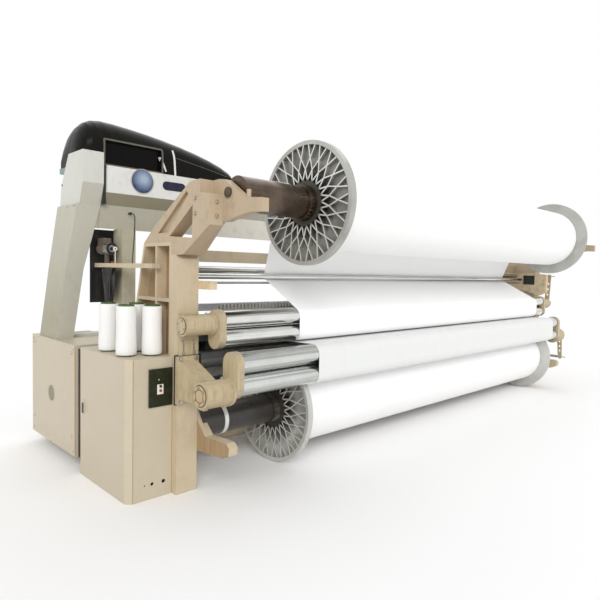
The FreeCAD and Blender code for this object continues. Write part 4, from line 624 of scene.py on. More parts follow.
# %% all finishes
FINISH = {
    # Recess paints shade, in the grime colour, on the pocket floors of the side frames' outer walls.
    "frame_paint": painted("frame_paint", (0.58, 0.485, 0.34), Grime=(0.27, 0.15, 0.05), Grime_Amount=0.22,
                           Wear=0.18, Roughness=0.45, Recess=2.69),
    "bracket_paint": painted("bracket_paint", (0.505, 0.40, 0.275), Grime=(0.20, 0.115, 0.05),
                             Grime_Amount=0.3, Wear=0.4, Roughness=0.45, Underside=0.12),
    # A lighter copy of the frame paint: painted light against the shade the rod brackets stand in.
    "rod_bracket_painted_light": painted("rod_bracket_painted_light", (0.70, 0.57, 0.385), Grime=(0.27, 0.16, 0.06),
                                 Grime_Amount=0.5, Wear=0.4, Underside=0.1),
    "housing_paint": painted("housing_paint", (0.515, 0.43, 0.275), Grime=(0.24, 0.13, 0.045),
                             Grime_Amount=0.8, Wear=0.5, Roughness=0.42),
    "upright_paint": painted("upright_paint", (0.47, 0.44, 0.33), Grime=(0.25, 0.19, 0.11), Grime_Amount=0.3),
    "girder_paint": girder_paint(),
    "post_paint": post_paint(),
    "hood_paint": painted("hood_paint", (0.007, 0.0068, 0.0058), coat=0.0, level=0.08,
                          Grime=(0.03, 0.028, 0.02), Grime_Amount=0.3, Wear=0.05, Roughness=0.16, Peel=0.02),
    "case_paint": painted("case_paint", (0.555, 0.49, 0.375), Grime=(0.36, 0.29, 0.2), Grime_Amount=0.05,
                          Wear=0.08, Roughness=0.4, Peel=0.12),
    # The rollers' dark streaks along their length are painted reflections.
    "chrome": bare("chrome", (0.76, 0.76, 0.74), Stain=(0.35, 0.33, 0.3), Stain_Amount=0.15, Roughness=0.12,
                   Lines=0.12, Film=0.85),
    "satin": bare("satin", (0.68, 0.70, 0.68), Stain=(0.35, 0.34, 0.31), Stain_Amount=0.2, Roughness=0.17,
                  Lines=0.15, Film=0.45),
    "steel": bare("steel", (0.15, 0.115, 0.088), Stain=(0.05, 0.03, 0.02), Stain_Amount=0.7, Roughness=0.26,
                  Lines=0.2),
    "lever_paint": painted("lever_paint", (0.50, 0.42, 0.28), Grime=(0.2, 0.14, 0.08), Grime_Amount=0.4,
                           Wear=0.3),
    "comb_steel": bare("comb_steel", (0.42, 0.41, 0.38), Stain=(0.2, 0.17, 0.13), Stain_Amount=0.3,
                       Roughness=0.4),
    "black_barrel": painted("black_barrel", (0.030, 0.026, 0.023), Grime=(0.10, 0.075, 0.05),
                            Grime_Amount=0.6, Wear=0.5, Roughness=0.22),
    "flange_aluminium": flange_metal(),
    "warp_yarn": yarn("warp_yarn", (0.985, 0.987, 0.995), (0.88, 0.89, 0.91), 0.2, 0.25),
    "warp_sheet": yarn("warp_sheet", (0.99, 0.992, 0.995), (0.94, 0.95, 0.96), 0.15, 0.2),
    # The lower warp is the same white yarn as its winding; the sheet's greyer tone is painted shade.
    "lower_sheet_painted_shade": yarn("lower_sheet_painted_shade", (0.81, 0.825, 0.818), (0.73, 0.745, 0.74), 0.2, 0.3),
    "tube_plastic": moulded("tube_plastic", (0.062, 0.118, 0.032)),
    "grip_rubber": moulded("grip_rubber", (0.03, 0.03, 0.03), 0.75),
    "cloth": yarn("cloth", (0.9, 0.9, 0.89), (0.74, 0.74, 0.74), 0.1, 0.1),
    "green_panel": painted("green_panel", (0.017, 0.022, 0.007), coat=0.0, level=0.2,
                           Grime=(0.03, 0.03, 0.018), Grime_Amount=0.3, Wear=0.04),
    "black_plastic": moulded("black_plastic", (0.012, 0.012, 0.012)),
    "red_plastic": moulded("red_plastic", (0.42, 0.02, 0.02)),
    "cap_plastic": cap_enamel(),
    "plate_navy": painted("plate_navy", (0.018, 0.021, 0.050), coat=0.0, level=0.2, Wear=0.0,
                          Roughness=0.25),
    "motor_paint": painted("motor_paint", (0.16, 0.18, 0.20)),
    "feeder_plastic": moulded("feeder_plastic", (0.125, 0.098, 0.072), 0.35),
    "drum_metal": bare("drum_metal", (0.7, 0.7, 0.7), Roughness=0.22),
    "light_alloy": bare("light_alloy", (0.62, 0.63, 0.65), Roughness=0.3, Stain_Amount=0.1),
    "sley_paint": painted("sley_paint", (0.10, 0.11, 0.125)),
    "white_trim": moulded("white_trim", (0.78, 0.78, 0.76), 0.4),
    "trim_grey": moulded("trim_grey", (0.10, 0.095, 0.072), 0.35),
    "pane": painted("pane", (0.004, 0.0035, 0.0035), coat=0.0, level=0.08, Grime_Amount=0.02, Wear=0.0,
                    Roughness=0.1),
    "foot_grey": moulded("foot_grey", (0.22, 0.30, 0.31), 0.4),
    "lamp_green": moulded("lamp_green", (0.01, 0.10, 0.05), 0.2),
    "brass": moulded("brass", (0.50, 0.48, 0.20)),
    "disc_grey": moulded("disc_grey", (0.275, 0.24, 0.17), 0.5),
    "edge_rust": moulded("edge_rust", (0.35, 0.185, 0.055), 0.6),
    "edge_brown": moulded("edge_brown", (0.41, 0.32, 0.17), 0.6),
    "grime_dark": moulded("grime_dark", (0.05, 0.035, 0.022), 0.7),
    "zinc": bare("zinc", (0.5, 0.48, 0.42), Roughness=0.32, Stain_Amount=0.3),
    "reed_steel": bare("reed_steel", (0.6, 0.6, 0.6), Roughness=0.25),
}
print("finishes", len(FINISH))

# %% [markdown]
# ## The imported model's own surfaces
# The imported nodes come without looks.  Each node's record names the slot of its
# material.  The nodes could be dressed one by one, but a look-up leaves none out: only
# the castings and rollers whose tone differs from their slot's are named here.

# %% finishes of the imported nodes
OWN_FINISH = {
    "bracket_paint": ("upper_bracket_near", "upper_bracket_far"),
    "rod_bracket_painted_light": ("rod_brackets",),
    "post_paint": ("front_post_near", "front_post_far"),
    "upright_paint": ("uprights",),
    "housing_paint": ("upper_housings", "lower_housings", "upper_swing_arms", "lower_swing_arms"),
    "plate_navy": ("blank_plate",),
    "satin": ("lower_roller_top", "lower_roller_bottom"),
    "lever_paint": ("upper_lever", "lower_lever"),
    "comb_steel": ("lease_comb",),
}


def finish_nodes():
    """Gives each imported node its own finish, or that of its slot."""
    finish_of = {part["node"]: part["material_slot"] for part in frame["record"]["subparts"]}
    finish_of.update({node: finish for finish, members in OWN_FINISH.items() for node in members})
    for name, obj in nodes.items():
        for slot in obj.material_slots:
            slot.material = FINISH[finish_of[name]]
        if not obj.material_slots:
            obj.data.materials.append(FINISH[finish_of[name]])


finish_nodes()
print("nodes with a finish", len(nodes))

# %% [markdown]
# ## Mesh builders
# Most added pieces are small and hard: rings, discs, bolts, bands and hoses.  Each
# could be modelled by hand, but a surface that is worked out as a grid of points
# keeps true sizes: a turned piece is a profile swept about an axis, and a bar or a
# hose is a row of equal rings.  Ends are closed and faces look outwards.


# %% objects from points and faces
def new_object(name, points, faces, material, smooth=False):
    """A mesh object at the origin, with its place in its points."""
    mesh = bpy.data.meshes.new(name)
    mesh.from_pydata(np.asarray(points).tolist(), [], faces if isinstance(faces, list) else faces.tolist())
    mesh.update()
    if smooth:
        mesh.shade_smooth()
    mesh.materials.append(material)
    obj = bpy.data.objects.new(name, mesh)
    bpy.context.scene.collection.objects.link(obj)
    return obj


def mesh_piece(name, shape, finish, body, smooth=False):
    """A rigid piece from (points, faces), riding on a body of the loom."""
    obj = new_object(name, *shape, FINISH[finish], smooth)
    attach(obj, body)
    return obj


def grid_faces(rows, columns, closed_rows=False, closed_columns=False):
    """Quads of a rows x columns grid of points, row by row."""
    i = np.arange(rows if closed_rows else rows - 1)[:, None]
    j = np.arange(columns if closed_columns else columns - 1)[None, :]
    i2, j2 = (i + 1) % rows, (j + 1) % columns
    corners = [i * columns + j, i * columns + j2, i2 * columns + j2, i2 * columns + j]
    return np.stack(corners, -1).reshape(-1, 4)


def end_faces(rows, around):
    """One face over the first ring of points and one over the last, both looking outwards."""
    last = (rows - 1) * around
    return [tuple(range(around))[::-1], tuple(range(last, last + around))]


print("grid of 3 x 3 points:", len(grid_faces(3, 3)), "faces")


# %% turned shapes
def turned(profile, centre, axis, around=96, closed="ends"):
    """A profile (along, radius) swept about an axis through centre: centre + along a + r (cos t, sin t).

    It is closed by end faces, or by an inner wall that the profile itself returns along."""
    along = np.array(axis, float)
    side = np.array((0, 0, 1.0)) if abs(along[2]) < 0.9 else np.array((1.0, 0, 0))
    other = np.cross(along, side)
    profile = np.array(profile, float)
    turn = np.linspace(0, 2 * np.pi, around, endpoint=False)
    circle = np.cos(turn)[:, None] * side + np.sin(turn)[:, None] * other
    points = np.array(centre, float) + profile[:, 0, None, None] * along + profile[:, 1, None, None] * circle
    points = points.reshape(-1, 3)
    faces = grid_faces(len(profile), around, closed_rows=closed == "inside", closed_columns=True).tolist()
    return points, faces if closed == "inside" else faces + end_faces(len(profile), around)


def merged(parts):
    """Join (points, faces) pairs into one."""
    points, faces, base = [], [], 0
    for p, f in parts:
        points.append(np.asarray(p, float))
        faces += [[corner + base for corner in face] for face in f]
        base += len(p)
    return np.concatenate(points), faces


def ring(centre, axis, inner, outer, thick, around=48):
    """A flat ring standing on centre along axis."""
    profile = [(0, outer), (thick, outer), (thick, inner), (0, inner)]
    return turned(profile, centre, axis, around, "inside")


def disc(centre, axis, radius, thick, dome=0.0, around=32):
    """A round plate; its top rises by dome towards the middle, as the cosine of a quarter turn."""
    reach = np.linspace(1, 0.02, 6)
    top = [(thick + dome * math.cos(r * math.pi / 2), radius * r) for r in reach]
    return turned([(0, radius)] + top, centre, axis, around)


print("a ring of 48 sides has", len(ring((0, 0, 0), (1, 0, 0), 0.01, 0.02, 0.002)[1]), "faces")


# %% bars and hoses
def bar(rings):
    """A closed bar through a row of rings, each an equal number of points."""
    rings = np.asarray(rings, float)
    rows, count = rings.shape[:2]
    sides = grid_faces(rows, count, closed_columns=True).tolist()
    return rings.reshape(-1, 3), sides + end_faces(rows, count)


def hose(path, radius, around=10):
    """A round hose along a path: each ring stands square to the path's direction."""
    path = np.asarray(path, float)
    along = np.gradient(path, axis=0)
    along /= np.linalg.norm(along, axis=1)[:, None]
    side = np.cross(along, (0.0, 1.0, 0.0))
    side /= np.linalg.norm(side, axis=1)[:, None]
    other = np.cross(along, side)
    turn = np.linspace(0, 2 * np.pi, around, endpoint=False)[None, :, None]
    return bar(path[:, None] + radius * (np.cos(turn) * side[:, None] + np.sin(turn) * other[:, None]))


print("a hose of 6 rings has", len(hose([(0, 0, z) for z in range(6)], 0.1)[1]), "faces")

# %% bands laid on a surface
IN_FRONT_Y = -3.0       # bands are dropped from here, in front of the whole loom
SUNK = 0.001            # a band's lower side lies this far inside the surface


def laid_band(skin, path, width, lift=0.0016):
    """A strip laid on a surface: its two edges are dropped along +Y on it, step by step."""
    path = np.asarray(path, float)
    steps = np.concatenate([np.linspace(a, b, 12)[:-1] for a, b in zip(path, path[1:])] + [path[-1:]])
    along = np.gradient(steps, axis=0)
    across = np.stack([-along[:, 1], along[:, 0]], 1) / np.linalg.norm(along, axis=1)[:, None] * width / 2
    rings = []
    for (x, z), (wx, wz) in zip(steps, across):
        low, high = (skin.ray_cast(Vector((x + k * wx, IN_FRONT_Y, z + k * wz)), Vector((0, 1, 0)))[0]
                     for k in (-1, 1))
        if low is not None and high is not None:
            rings.append([(high.x, high.y + SUNK, high.z), (high.x, high.y - lift, high.z),
                          (low.x, low.y - lift, low.z), (low.x, low.y + SUNK, low.z)])
    return bar(rings)


def skin_of(name):
    """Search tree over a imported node's triangles."""
    mesh = nodes[name].data
    corners = [tuple(vertex.co) for vertex in mesh.vertices]
    return BVHTree.FromPolygons(corners, [tuple(face.vertices) for face in mesh.polygons])


print("hood triangles", len(nodes["hood"].data.polygons))


# %% blocks and bolts
def brick(low, high):
    """A block between its lowest and its highest corner."""
    (x0, y0, z0), (x1, y1, z1) = low, high
    points = [(x0, y0, z0), (x1, y0, z0), (x1, y1, z0), (x0, y1, z0),
              (x0, y0, z1), (x1, y0, z1), (x1, y1, z1), (x0, y1, z1)]
    return points, [(3, 2, 1, 0), (4, 5, 6, 7), (0, 1, 5, 4), (1, 2, 6, 5), (2, 3, 7, 6), (3, 0, 4, 7)]


def hex_bolt(centre, axis, across, height):
    """Washer and chamfered hexagon head standing on centre along axis; across is over its flats."""
    washer = turned([(0, across * 0.72), (height * 0.22, across * 0.72)], centre, axis, 24)
    corner = across / math.sqrt(3)
    profile = [(height * 0.2, corner), (height * 0.9, corner), (height, corner * 0.86)]
    return merged([washer, turned(profile, centre, axis, 6)])


print("one bolt has", len(hex_bolt((0, 0, 0), (0, 0, 1), 0.019, 0.011)[1]), "faces")

# %% [markdown]
# ## The warp
# Each warp leaves its beam, turns round a rod or the tension rollers and runs to the
# healds or, below, on to the cloth roll.  A plane could be bent by hand; worked out as
# a chain of straight tangents and arcs, the line touches every roller where the yarn
# does.  Between two turns with signed radii r1, r2 at distance d the tangent leans by
# asin((r2 - r1) / d).

# %% line of the warp
LIFT = 0.00105          # the sheet lies this far off the rollers
STRAIGHT_STEP = 0.040
ROUND_STEP = 0.012


def wrap_line(turns):
    """Points (Y, Z) along tangents and arcs, in metres.

    A turn is (y, z, radius, side): side 1 turns left and -1 turns right.  A point of an arc is
    (y + r sin h, z - r cos h) for the heading h, with r negative on a right turn."""
    turns = [(y, z, side * (radius + LIFT)) for y, z, radius, side in turns]
    headings = []
    for (y0, z0, r0), (y1, z1, r1) in zip(turns, turns[1:]):
        dy, dz = y1 - y0, z1 - z0
        headings.append(math.atan2(dz, dy) - math.asin((r1 - r0) / math.hypot(dy, dz)))
    line = []
    for k, heading in enumerate(headings):
        ends = [(y + r * math.sin(heading), z - r * math.cos(heading)) for y, z, r in turns[k:k + 2]]
        share = np.linspace(0, 1, max(3, int(math.dist(*ends) / STRAIGHT_STEP)))[:, None]
        line.append(np.array(ends[0]) * (1 - share) + np.array(ends[1]) * share)
        if k + 1 < len(headings):
            y, z, r = turns[k + 1]
            swing = headings[k + 1] - heading
            swing = swing % (2 * math.pi) if r > 0 else -((-swing) % (2 * math.pi))
            turn = heading + np.linspace(0, swing, max(3, int(abs(swing * r) / ROUND_STEP)) + 1)[1:-1]
            line.append(np.stack([y + r * np.sin(turn), z - r * np.cos(turn)], 1))
    return np.concatenate(line)


UPPER_TURNS = [(*UPPER_BEAM, UPPER_WOUND_R, -1), (-0.660, 1.370, 0.020, -1),
               (*ROLLERS["upper_roll_a"], 1), (*ROLLERS["upper_roll_b"], 1), (0.470, 0.875, 0.0, 1)]
LOWER_TURNS = [(*LOWER_BEAM, LOWER_WOUND_R, 1), (*ROLLERS["lower_roll_b"], -1),
               (*ROLLERS["lower_roll_a"], -1), (0.470, 0.912, 0.040, 1), (0.745, 0.823, 0.045, -1),
               (*AXIS["take_up_turn"], 0.080, -1), (0.55449, 0.57962, 0.040, 1),
               (*AXIS["cloth_roll_turn"], 0.130, -1)]
upper_line, lower_line = wrap_line(UPPER_TURNS), wrap_line(LOWER_TURNS)
print("points along the upper and the lower warp", len(upper_line), len(lower_line))

# %% [markdown]
# ## The sheets
# The yarn has to stay on its rollers when the arms swing.  A sheet could be made again
# for each place of the arms; here each warp is cut in two between its arms' two
# rollers.

# %% warp sheets
ROLLERS_BELOW_Z = 1.2       # the upper warp is down at its rollers below this height
BETWEEN_ROLLERS_Z = 1.04    # and is cut here, between the two
SHEET_COLUMNS = 60
UPPER_NEAR = ((1.10, -1.82), (1.855, -1.955))                               # height, X of the near edge
UPPER_FAR = ((1.10, 2.25), (1.37, 2.0), (1.732, 1.966), (1.855, 1.96))      # height, X of the far edge
LOWER_NEAR, LOWER_FAR = -1.805, 2.310


def cut_at(line, index):
    """Both halves of a line, with the point of the cut in each."""
    return line[:index + 1], line[index:]


def upper_edges(line):
    """Near edge draws in from the beam to the rollers; the far edge widens past the rods."""
    return [np.interp(line[:, 1], *zip(*edge)) for edge in (UPPER_NEAR, UPPER_FAR)]


def lower_edges(line):
    """Straight edges."""
    return np.full(len(line), LOWER_NEAR), np.full(len(line), LOWER_FAR)


def warp_piece(name, line, edges, node, finish="warp_sheet"):
    """A sheet of yarn swept along X: a point is (near + (far - near) t, y, z) along the line."""
    near, far = edges(line)
    x = near[:, None] + (far - near)[:, None] * np.linspace(0, 1, SHEET_COLUMNS)
    y, z = (np.repeat(line[:, k:k + 1], SHEET_COLUMNS, 1) for k in (0, 1))
    points = np.stack([x, y, z], -1).reshape(-1, 3)
    obj = new_object(name, points, grid_faces(len(line), SHEET_COLUMNS), FINISH[finish], smooth=True)
    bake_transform(obj)
    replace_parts(obj, node)


first_low = np.where(upper_line[:, 1] < ROLLERS_BELOW_Z)[0][0]
upper_cut = first_low + int(np.argmin(np.abs(upper_line[first_low:, 1] - BETWEEN_ROLLERS_Z)))
lower_cut = int(np.argmin(lower_line[:len(lower_line) // 2, 0]))
upper_rear, upper_front = cut_at(upper_line, upper_cut)
lower_rear, lower_front = cut_at(lower_line, lower_cut)

warp_piece("upper_warp_rear", upper_rear, upper_edges,
           "upper_warp_sheet")
warp_piece("upper_warp_front", upper_front, upper_edges,
           "upper_warp_sheet")
warp_piece("lower_warp_rear", lower_rear, lower_edges,
           "lower_warp_sheet", "lower_sheet_painted_shade")
warp_piece("lower_warp_front", lower_front, lower_edges,
           "lower_warp_sheet", "lower_sheet_painted_shade")

# %% [markdown]
# ## Windings
# The yarn on a beam and the cloth on its roll are long drums that are never quite
# even.  A plain cylinder would look machined, and winding real thread round it would
# be far too heavy.  A turned profile with a slow sum of sines gives the rise and fall,
# and its two ends run down to the tube, so that the winding is a closed ring round it.

# %% yarn on the beams and cloth on its roll
BEAM_TUBE_R = 0.103


def wound(name, x0, x1, axis, core, radius, body, node, finish, seed):
    """A long winding; its surface rises and falls by up to a millimetre and rounds at the ends.

    Radius at x: the full radius, less 1.2 mm, plus nine sines, less 4 mm (1 - edge) squared at an end."""
    rng = np.random.default_rng(seed)
    x = np.linspace(x0, x1, 260)
    along = (x - x0) / (x1 - x0)
    sway = sum(rng.uniform(-1, 1) * np.sin(2 * np.pi * (k + 1) * along * 3.1 + rng.uniform(0, 6))
               for k in range(9)) * 0.00022
    edge = np.minimum(x - x0, x1 - x) / 0.03
    outside = radius - 0.0012 + sway - 0.004 * np.clip(1 - edge, 0, 1) ** 2
    profile = [(x0, core)] + list(zip(x, outside)) + [(x1, core)]
    shape = turned(profile, (0, *axis), (1, 0, 0), 160, "inside")
    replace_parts(mesh_piece(name, shape, finish, body, smooth=True), node)


wound("upper_winding", -1.9705, 1.9705, UPPER_BEAM, BEAM_TUBE_R, UPPER_WOUND_R, "upper_beam", "upper_yarn",
      "warp_yarn", 3)
wound("lower_winding", -1.8105, 2.3345, LOWER_BEAM, BEAM_TUBE_R, LOWER_WOUND_R, "lower_beam", "lower_yarn",
      "warp_yarn", 5)
wound("cloth_winding", -1.815, 2.320, AXIS["cloth_roll_turn"], 0.0455, 0.130, "cloth", "wound_cloth", "cloth",
      7)
print("windings made")

# %% [markdown]
# ## Yarn packages
# Four packages of weft stand on the cabinet.  Their yarn crosses itself in a lattice.
# It could be modelled as thread, but at this size a pattern is enough.  The lattice
# runs round the package, so the pattern needs a UV map that runs round it too: two
# waves leaning opposite ways, and the higher of both is the yarn on top.

# %% crossed winding
def cone_material():
    """Criss-cross winding read from the piece's own UV: u round, v along."""
    material, tree, skin = blank("package_yarn")
    place = add(tree, "ShaderNodeUVMap").outputs["UV"]
    heights = []
    for sign in (1, -1):
        wave = add(tree, "ShaderNodeTexWave", Scale=7.0, Distortion=0.35)
        wave.bands_direction = "DIAGONAL"
        tree.links.new(stretched(tree, place, (1.0, 26.0 * sign, 1.0)), wave.inputs["Vector"])
        heights.append(wave.outputs["Fac"])
    height = larger(tree, heights[0], heights[1])
    colour = mix(tree, times(tree, minus(tree, 1.0, height), 0.35),
                 (0.86, 0.86, 0.85, 1), (0.66, 0.66, 0.64, 1))
    tree.links.new(colour, skin.inputs["Base Color"])
    tree.links.new(bumped(tree, height, 0.25, 0.0008), skin.inputs["Normal"])
    skin.inputs["Roughness"].default_value = 0.7
    skin.inputs["Sheen Weight"].default_value = 0.3
    return material


FINISH["package_yarn"] = cone_material()


def with_uv(obj, rows, columns):
    """u runs once round, v once along, written per face corner of a turned piece.

    On the face that closes the round, the corners of column 0 count as one past the last column."""
    layer = obj.data.uv_layers.new(name="winding")
    loops = np.zeros(len(obj.data.loops), int)
    obj.data.loops.foreach_get("vertex_index", loops)
    column = loops % columns
    row = (loops // columns) % rows
    first = np.arange(len(loops)) // 4 * 4
    wraps = (column == 0) & (column[first] > columns / 2)
    wraps |= (column == 0) & (column[first + 3] > columns / 2)
    u = np.where(wraps, columns, column) / columns
    uv = np.stack([u, row / (rows - 1)], 1).astype(np.float32)
    layer.data.foreach_set("uv", uv.ravel())


print("crossed winding ready")


# %% packages
CONES = ((-2.930, -0.590), (-2.788, -0.650), (-2.925, -0.330), (-2.786, -0.440))     # X and Y of each
CABINET_TOP = 0.879
PACKAGE_R = 0.0622
PACKAGE_AROUND = 64


def yarn_packages():
    """Four packages in one mesh; each side narrows by 2.8 mm and swells by a sine of 0.8 mm."""
    rise = np.linspace(0, 1, 16)
    side = [(0.004 + 0.292 * t, PACKAGE_R - 0.0028 * t + 0.0008 * math.sin(9 * t)) for t in rise]
    foot = [(0.001, 0.0485), (0.0, 0.054), (0.0, 0.059)]
    head = [(0.300, 0.0565), (0.3002, 0.052), (0.299, 0.0485)]
    profile = foot + side + head
    stood = [turned(profile, (x, y, CABINET_TOP), (0, 0, 1), PACKAGE_AROUND, "inside") for x, y in CONES]
    obj = mesh_piece("packages", merged(stood), "package_yarn", "machine", smooth=True)
    with_uv(obj, len(profile), PACKAGE_AROUND)
    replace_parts(obj, "yarn_cones")


yarn_packages()
print("packages", len(CONES))

# %% [markdown]
# ## The hanging cable
# A thin cable hangs from the gland in the girder's skirt down to the shelf.  It could
# be a hose like the leads below; a curve with a round bevel is smoother and needs only
# ten points along its route.

# %% cable down to the shelf
CABLE_D = 0.008
CABLE = [(-2.577, 0.070, 1.817), (-2.578, 0.030, 1.816), (-2.584, -0.010, 1.796), (-2.606, -0.058, 1.762),
         (-2.636, -0.112, 1.706), (-2.664, -0.164, 1.640), (-2.690, -0.206, 1.572), (-2.708, -0.232, 1.512),
         (-2.716, -0.242, 1.474), (-2.716, -0.242, 1.445)]


def cable():
    """A round curve through the route's points."""
    curve = bpy.data.curves.new("feeder_cable", "CURVE")
    curve.dimensions = "3D"
    curve.bevel_depth = CABLE_D / 2
    curve.bevel_resolution = 4
    line = curve.splines.new("NURBS")
    line.points.add(len(CABLE) - 1)
    for point, place in zip(line.points, CABLE):
        point.co = (*place, 1.0)
    line.order_u = 3
    line.use_endpoint_u = True
    curve.resolution_u = 12
    curve.materials.append(FINISH["black_plastic"])
    obj = bpy.data.objects.new("feeder_cable", curve)
    bpy.context.scene.collection.objects.link(obj)
    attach(obj, "machine")
    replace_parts(obj, "hanging_cable")


cable()
print("cable points", len(CABLE))

# %% [markdown]
# ## Bolts and screws
# Castings are held by hexagon bolts on washers.  One bolt could be modelled and copied
# as an object, but then every copy would be a piece.  They stand in rows on flat faces
# or in circles round a cover, so each group is a list of places and becomes one mesh.

# %% bolts and screws
NEAR, FRONT, UP = (-1, 0, 0), (0, -1, 0), (0, 0, 1)     # outward directions: near side, warp side, up
UPPER_COVER_X, LOWER_COVER_X = -2.738, -2.721           # faces of the pivots' covers


def bolts(xs, y, zs, across, height):
    """Bolts on faces towards -Y."""
    return [((x, y, z), FRONT, across, height) for x in xs for z in zs]


def bolt_circle(x, pivot, radius, count, across, height, start=0.4):
    """Bolts round a pivot on its near cover: y + r cos t, z + r sin t."""
    turn = start + np.arange(count) * 2 * math.pi / count
    return [((x, pivot[0] + radius * math.cos(t), pivot[1] + radius * math.sin(t)), NEAR, across, height)
            for t in turn]


BOLTS = {
    "bracket_bolts": [((-2.7101, -1.005, 1.74), NEAR, 0.019, 0.011),
                      ((-2.7101, -1.005, 1.83), NEAR, 0.019, 0.011),
                      ((-2.6651, -1.1561, 1.80), FRONT, 0.016, 0.008),
                      ((-2.6651, -1.1561, 1.72), FRONT, 0.016, 0.008)],
    "housing_bolts": [row for side in (-1, 1) for row in
                      bolts((side * 2.670, side * 2.600), -0.8501, (1.121,), 0.019, 0.012) +
                      bolts((side * 2.705, side * 2.595), -0.8551, (0.862, 0.595), 0.021, 0.013)] +
                     bolts((-2.672, -2.598), -0.8341, (0.965, 0.895), 0.017, 0.01),
    "cover_bolts": bolt_circle(UPPER_COVER_X - 0.0001, UPPER_PIVOT, 0.037, 4, 0.010, 0.006) +
                   bolt_circle(LOWER_COVER_X - 0.0001, LOWER_PIVOT, 0.050, 6, 0.011, 0.007),
    "clamp_bolts": [((-2.560, UPPER_PIVOT[0], 1.1335), UP, 0.016, 0.012),
                    ((-2.560, LOWER_PIVOT[0], 0.7555), UP, 0.018, 0.014)],
    "case_screws": [((-3.0091, y, z), NEAR, 0.009, 0.004) for y in (0.04, 0.85) for z in (0.12, 0.84)],
    "cover_screws": [((-2.9686, y, 1.843), NEAR, 0.009, 0.004) for y in (0.252, 0.142, 0.116)],
}
for name, rows in BOLTS.items():
    mesh_piece(name, merged([hex_bolt(*row) for row in rows]), "zinc", "machine")
    print(name, len(rows))

# %% [markdown]
# ## Trim on the hood
# The hood is a curved cover with a gasketed window, a seam and two white strips.  Flat
# strips would stand off its curve, so the strips, the seam and the window's frame are
# bands laid on the hood: both edges are dropped on its surface, step by step.  Only
# the dark pane behind the frame is a flat plate.

# %% hood trim
WINDOW_X, WINDOW_Z = (-2.777, -2.313), (2.151, 2.332)     # middle line of the window's frame


def hood_trim():
    """White strips, a seam and the frame and pane of the window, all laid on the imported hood."""
    hood = skin_of("hood")
    strips = [laid_band(hood, [(-2.334, 2.289), (-2.281, 2.169)], 0.013),
              laid_band(hood, [(-2.213, 2.347), (-2.199, 2.147)], 0.016)]
    mesh_piece("hood_strips", merged(strips), "white_trim", "machine")
    (x0, x1), (z0, z1) = WINDOW_X, WINDOW_Z
    corners = [(x0, z0), (x0, z1), (x1, z1), (x1, z0), (x0, z0)]
    rails = [laid_band(hood, side, 0.013, 0.004) for side in zip(corners, corners[1:])]
    mesh_piece("hood_window_frame", merged(rails), "trim_grey", "machine")
    mesh_piece("hood_window_pane", brick((-2.769, 0.108, 2.159), (-2.321, 0.114, 2.300)), "pane", "machine")
    seam = laid_band(hood, [(-2.188, 2.287), (-1.95, 2.252), (-1.80, 2.228), (-1.70, 2.208)], 0.004, 0.0012)
    mesh_piece("hood_seam", seam, "trim_grey", "machine")


hood_trim()
print("hood window", WINDOW_X, WINDOW_Z)

# %% [markdown]
# ## Small fittings
# Rims, rings, lamps, a lock and the dirt along the cabinet's edges are what the eye
# expects from close by.  Dirt could be painted into the finish, but a thin strip keeps
# its edge sharp.  Each piece is a ring, a disc, a hose or a block on a packed surface,
# with its name, shapes, finish, body and slot in one row of a table.

# %% switch panel's rim and the cabinet's edges
DOOR_Y = (-0.7696, -0.7686)             # lines of dirt on the cabinet's warp side
PANEL_Y = (-0.7785, -0.7765)            # the switch panel's raised rim
PANEL_X, PANEL_Z = (-2.876, -2.716), (0.568, 0.804)
RIM_W = 0.006


def panel_rim():
    """Four blocks round the switch panel; the upright ones fit between the level ones."""
    (x0, x1), (z0, z1), (y0, y1) = PANEL_X, PANEL_Z, PANEL_Y
    sides = (((x0, z0), (x1, z0 + RIM_W)), ((x0, z1 - RIM_W), (x1, z1)),
             ((x0, z0 + RIM_W), (x0 + RIM_W, z1 - RIM_W)), ((x1 - RIM_W, z0 + RIM_W), (x1, z1 - RIM_W)))
    return [brick((low_x, y0, low_z), (high_x, y1, high_z)) for (low_x, low_z), (high_x, high_z) in sides]


def cabinet_edges():
    """Dirt along the cabinet's upright edges; the far line leaves out the switch panel's height."""
    lines = (((-2.9755, 0.004), (-2.9705, 0.866)), ((-2.7140, 0.004), (-2.7102, 0.566)),
             ((-2.7140, 0.806), (-2.7102, 0.866)))
    return [brick((x0, DOOR_Y[0], z0), (x1, DOOR_Y[1], z1)) for (x0, z0), (x1, z1) in lines]


print("rim blocks", len(panel_rim()), "lines of dirt", len(cabinet_edges()))

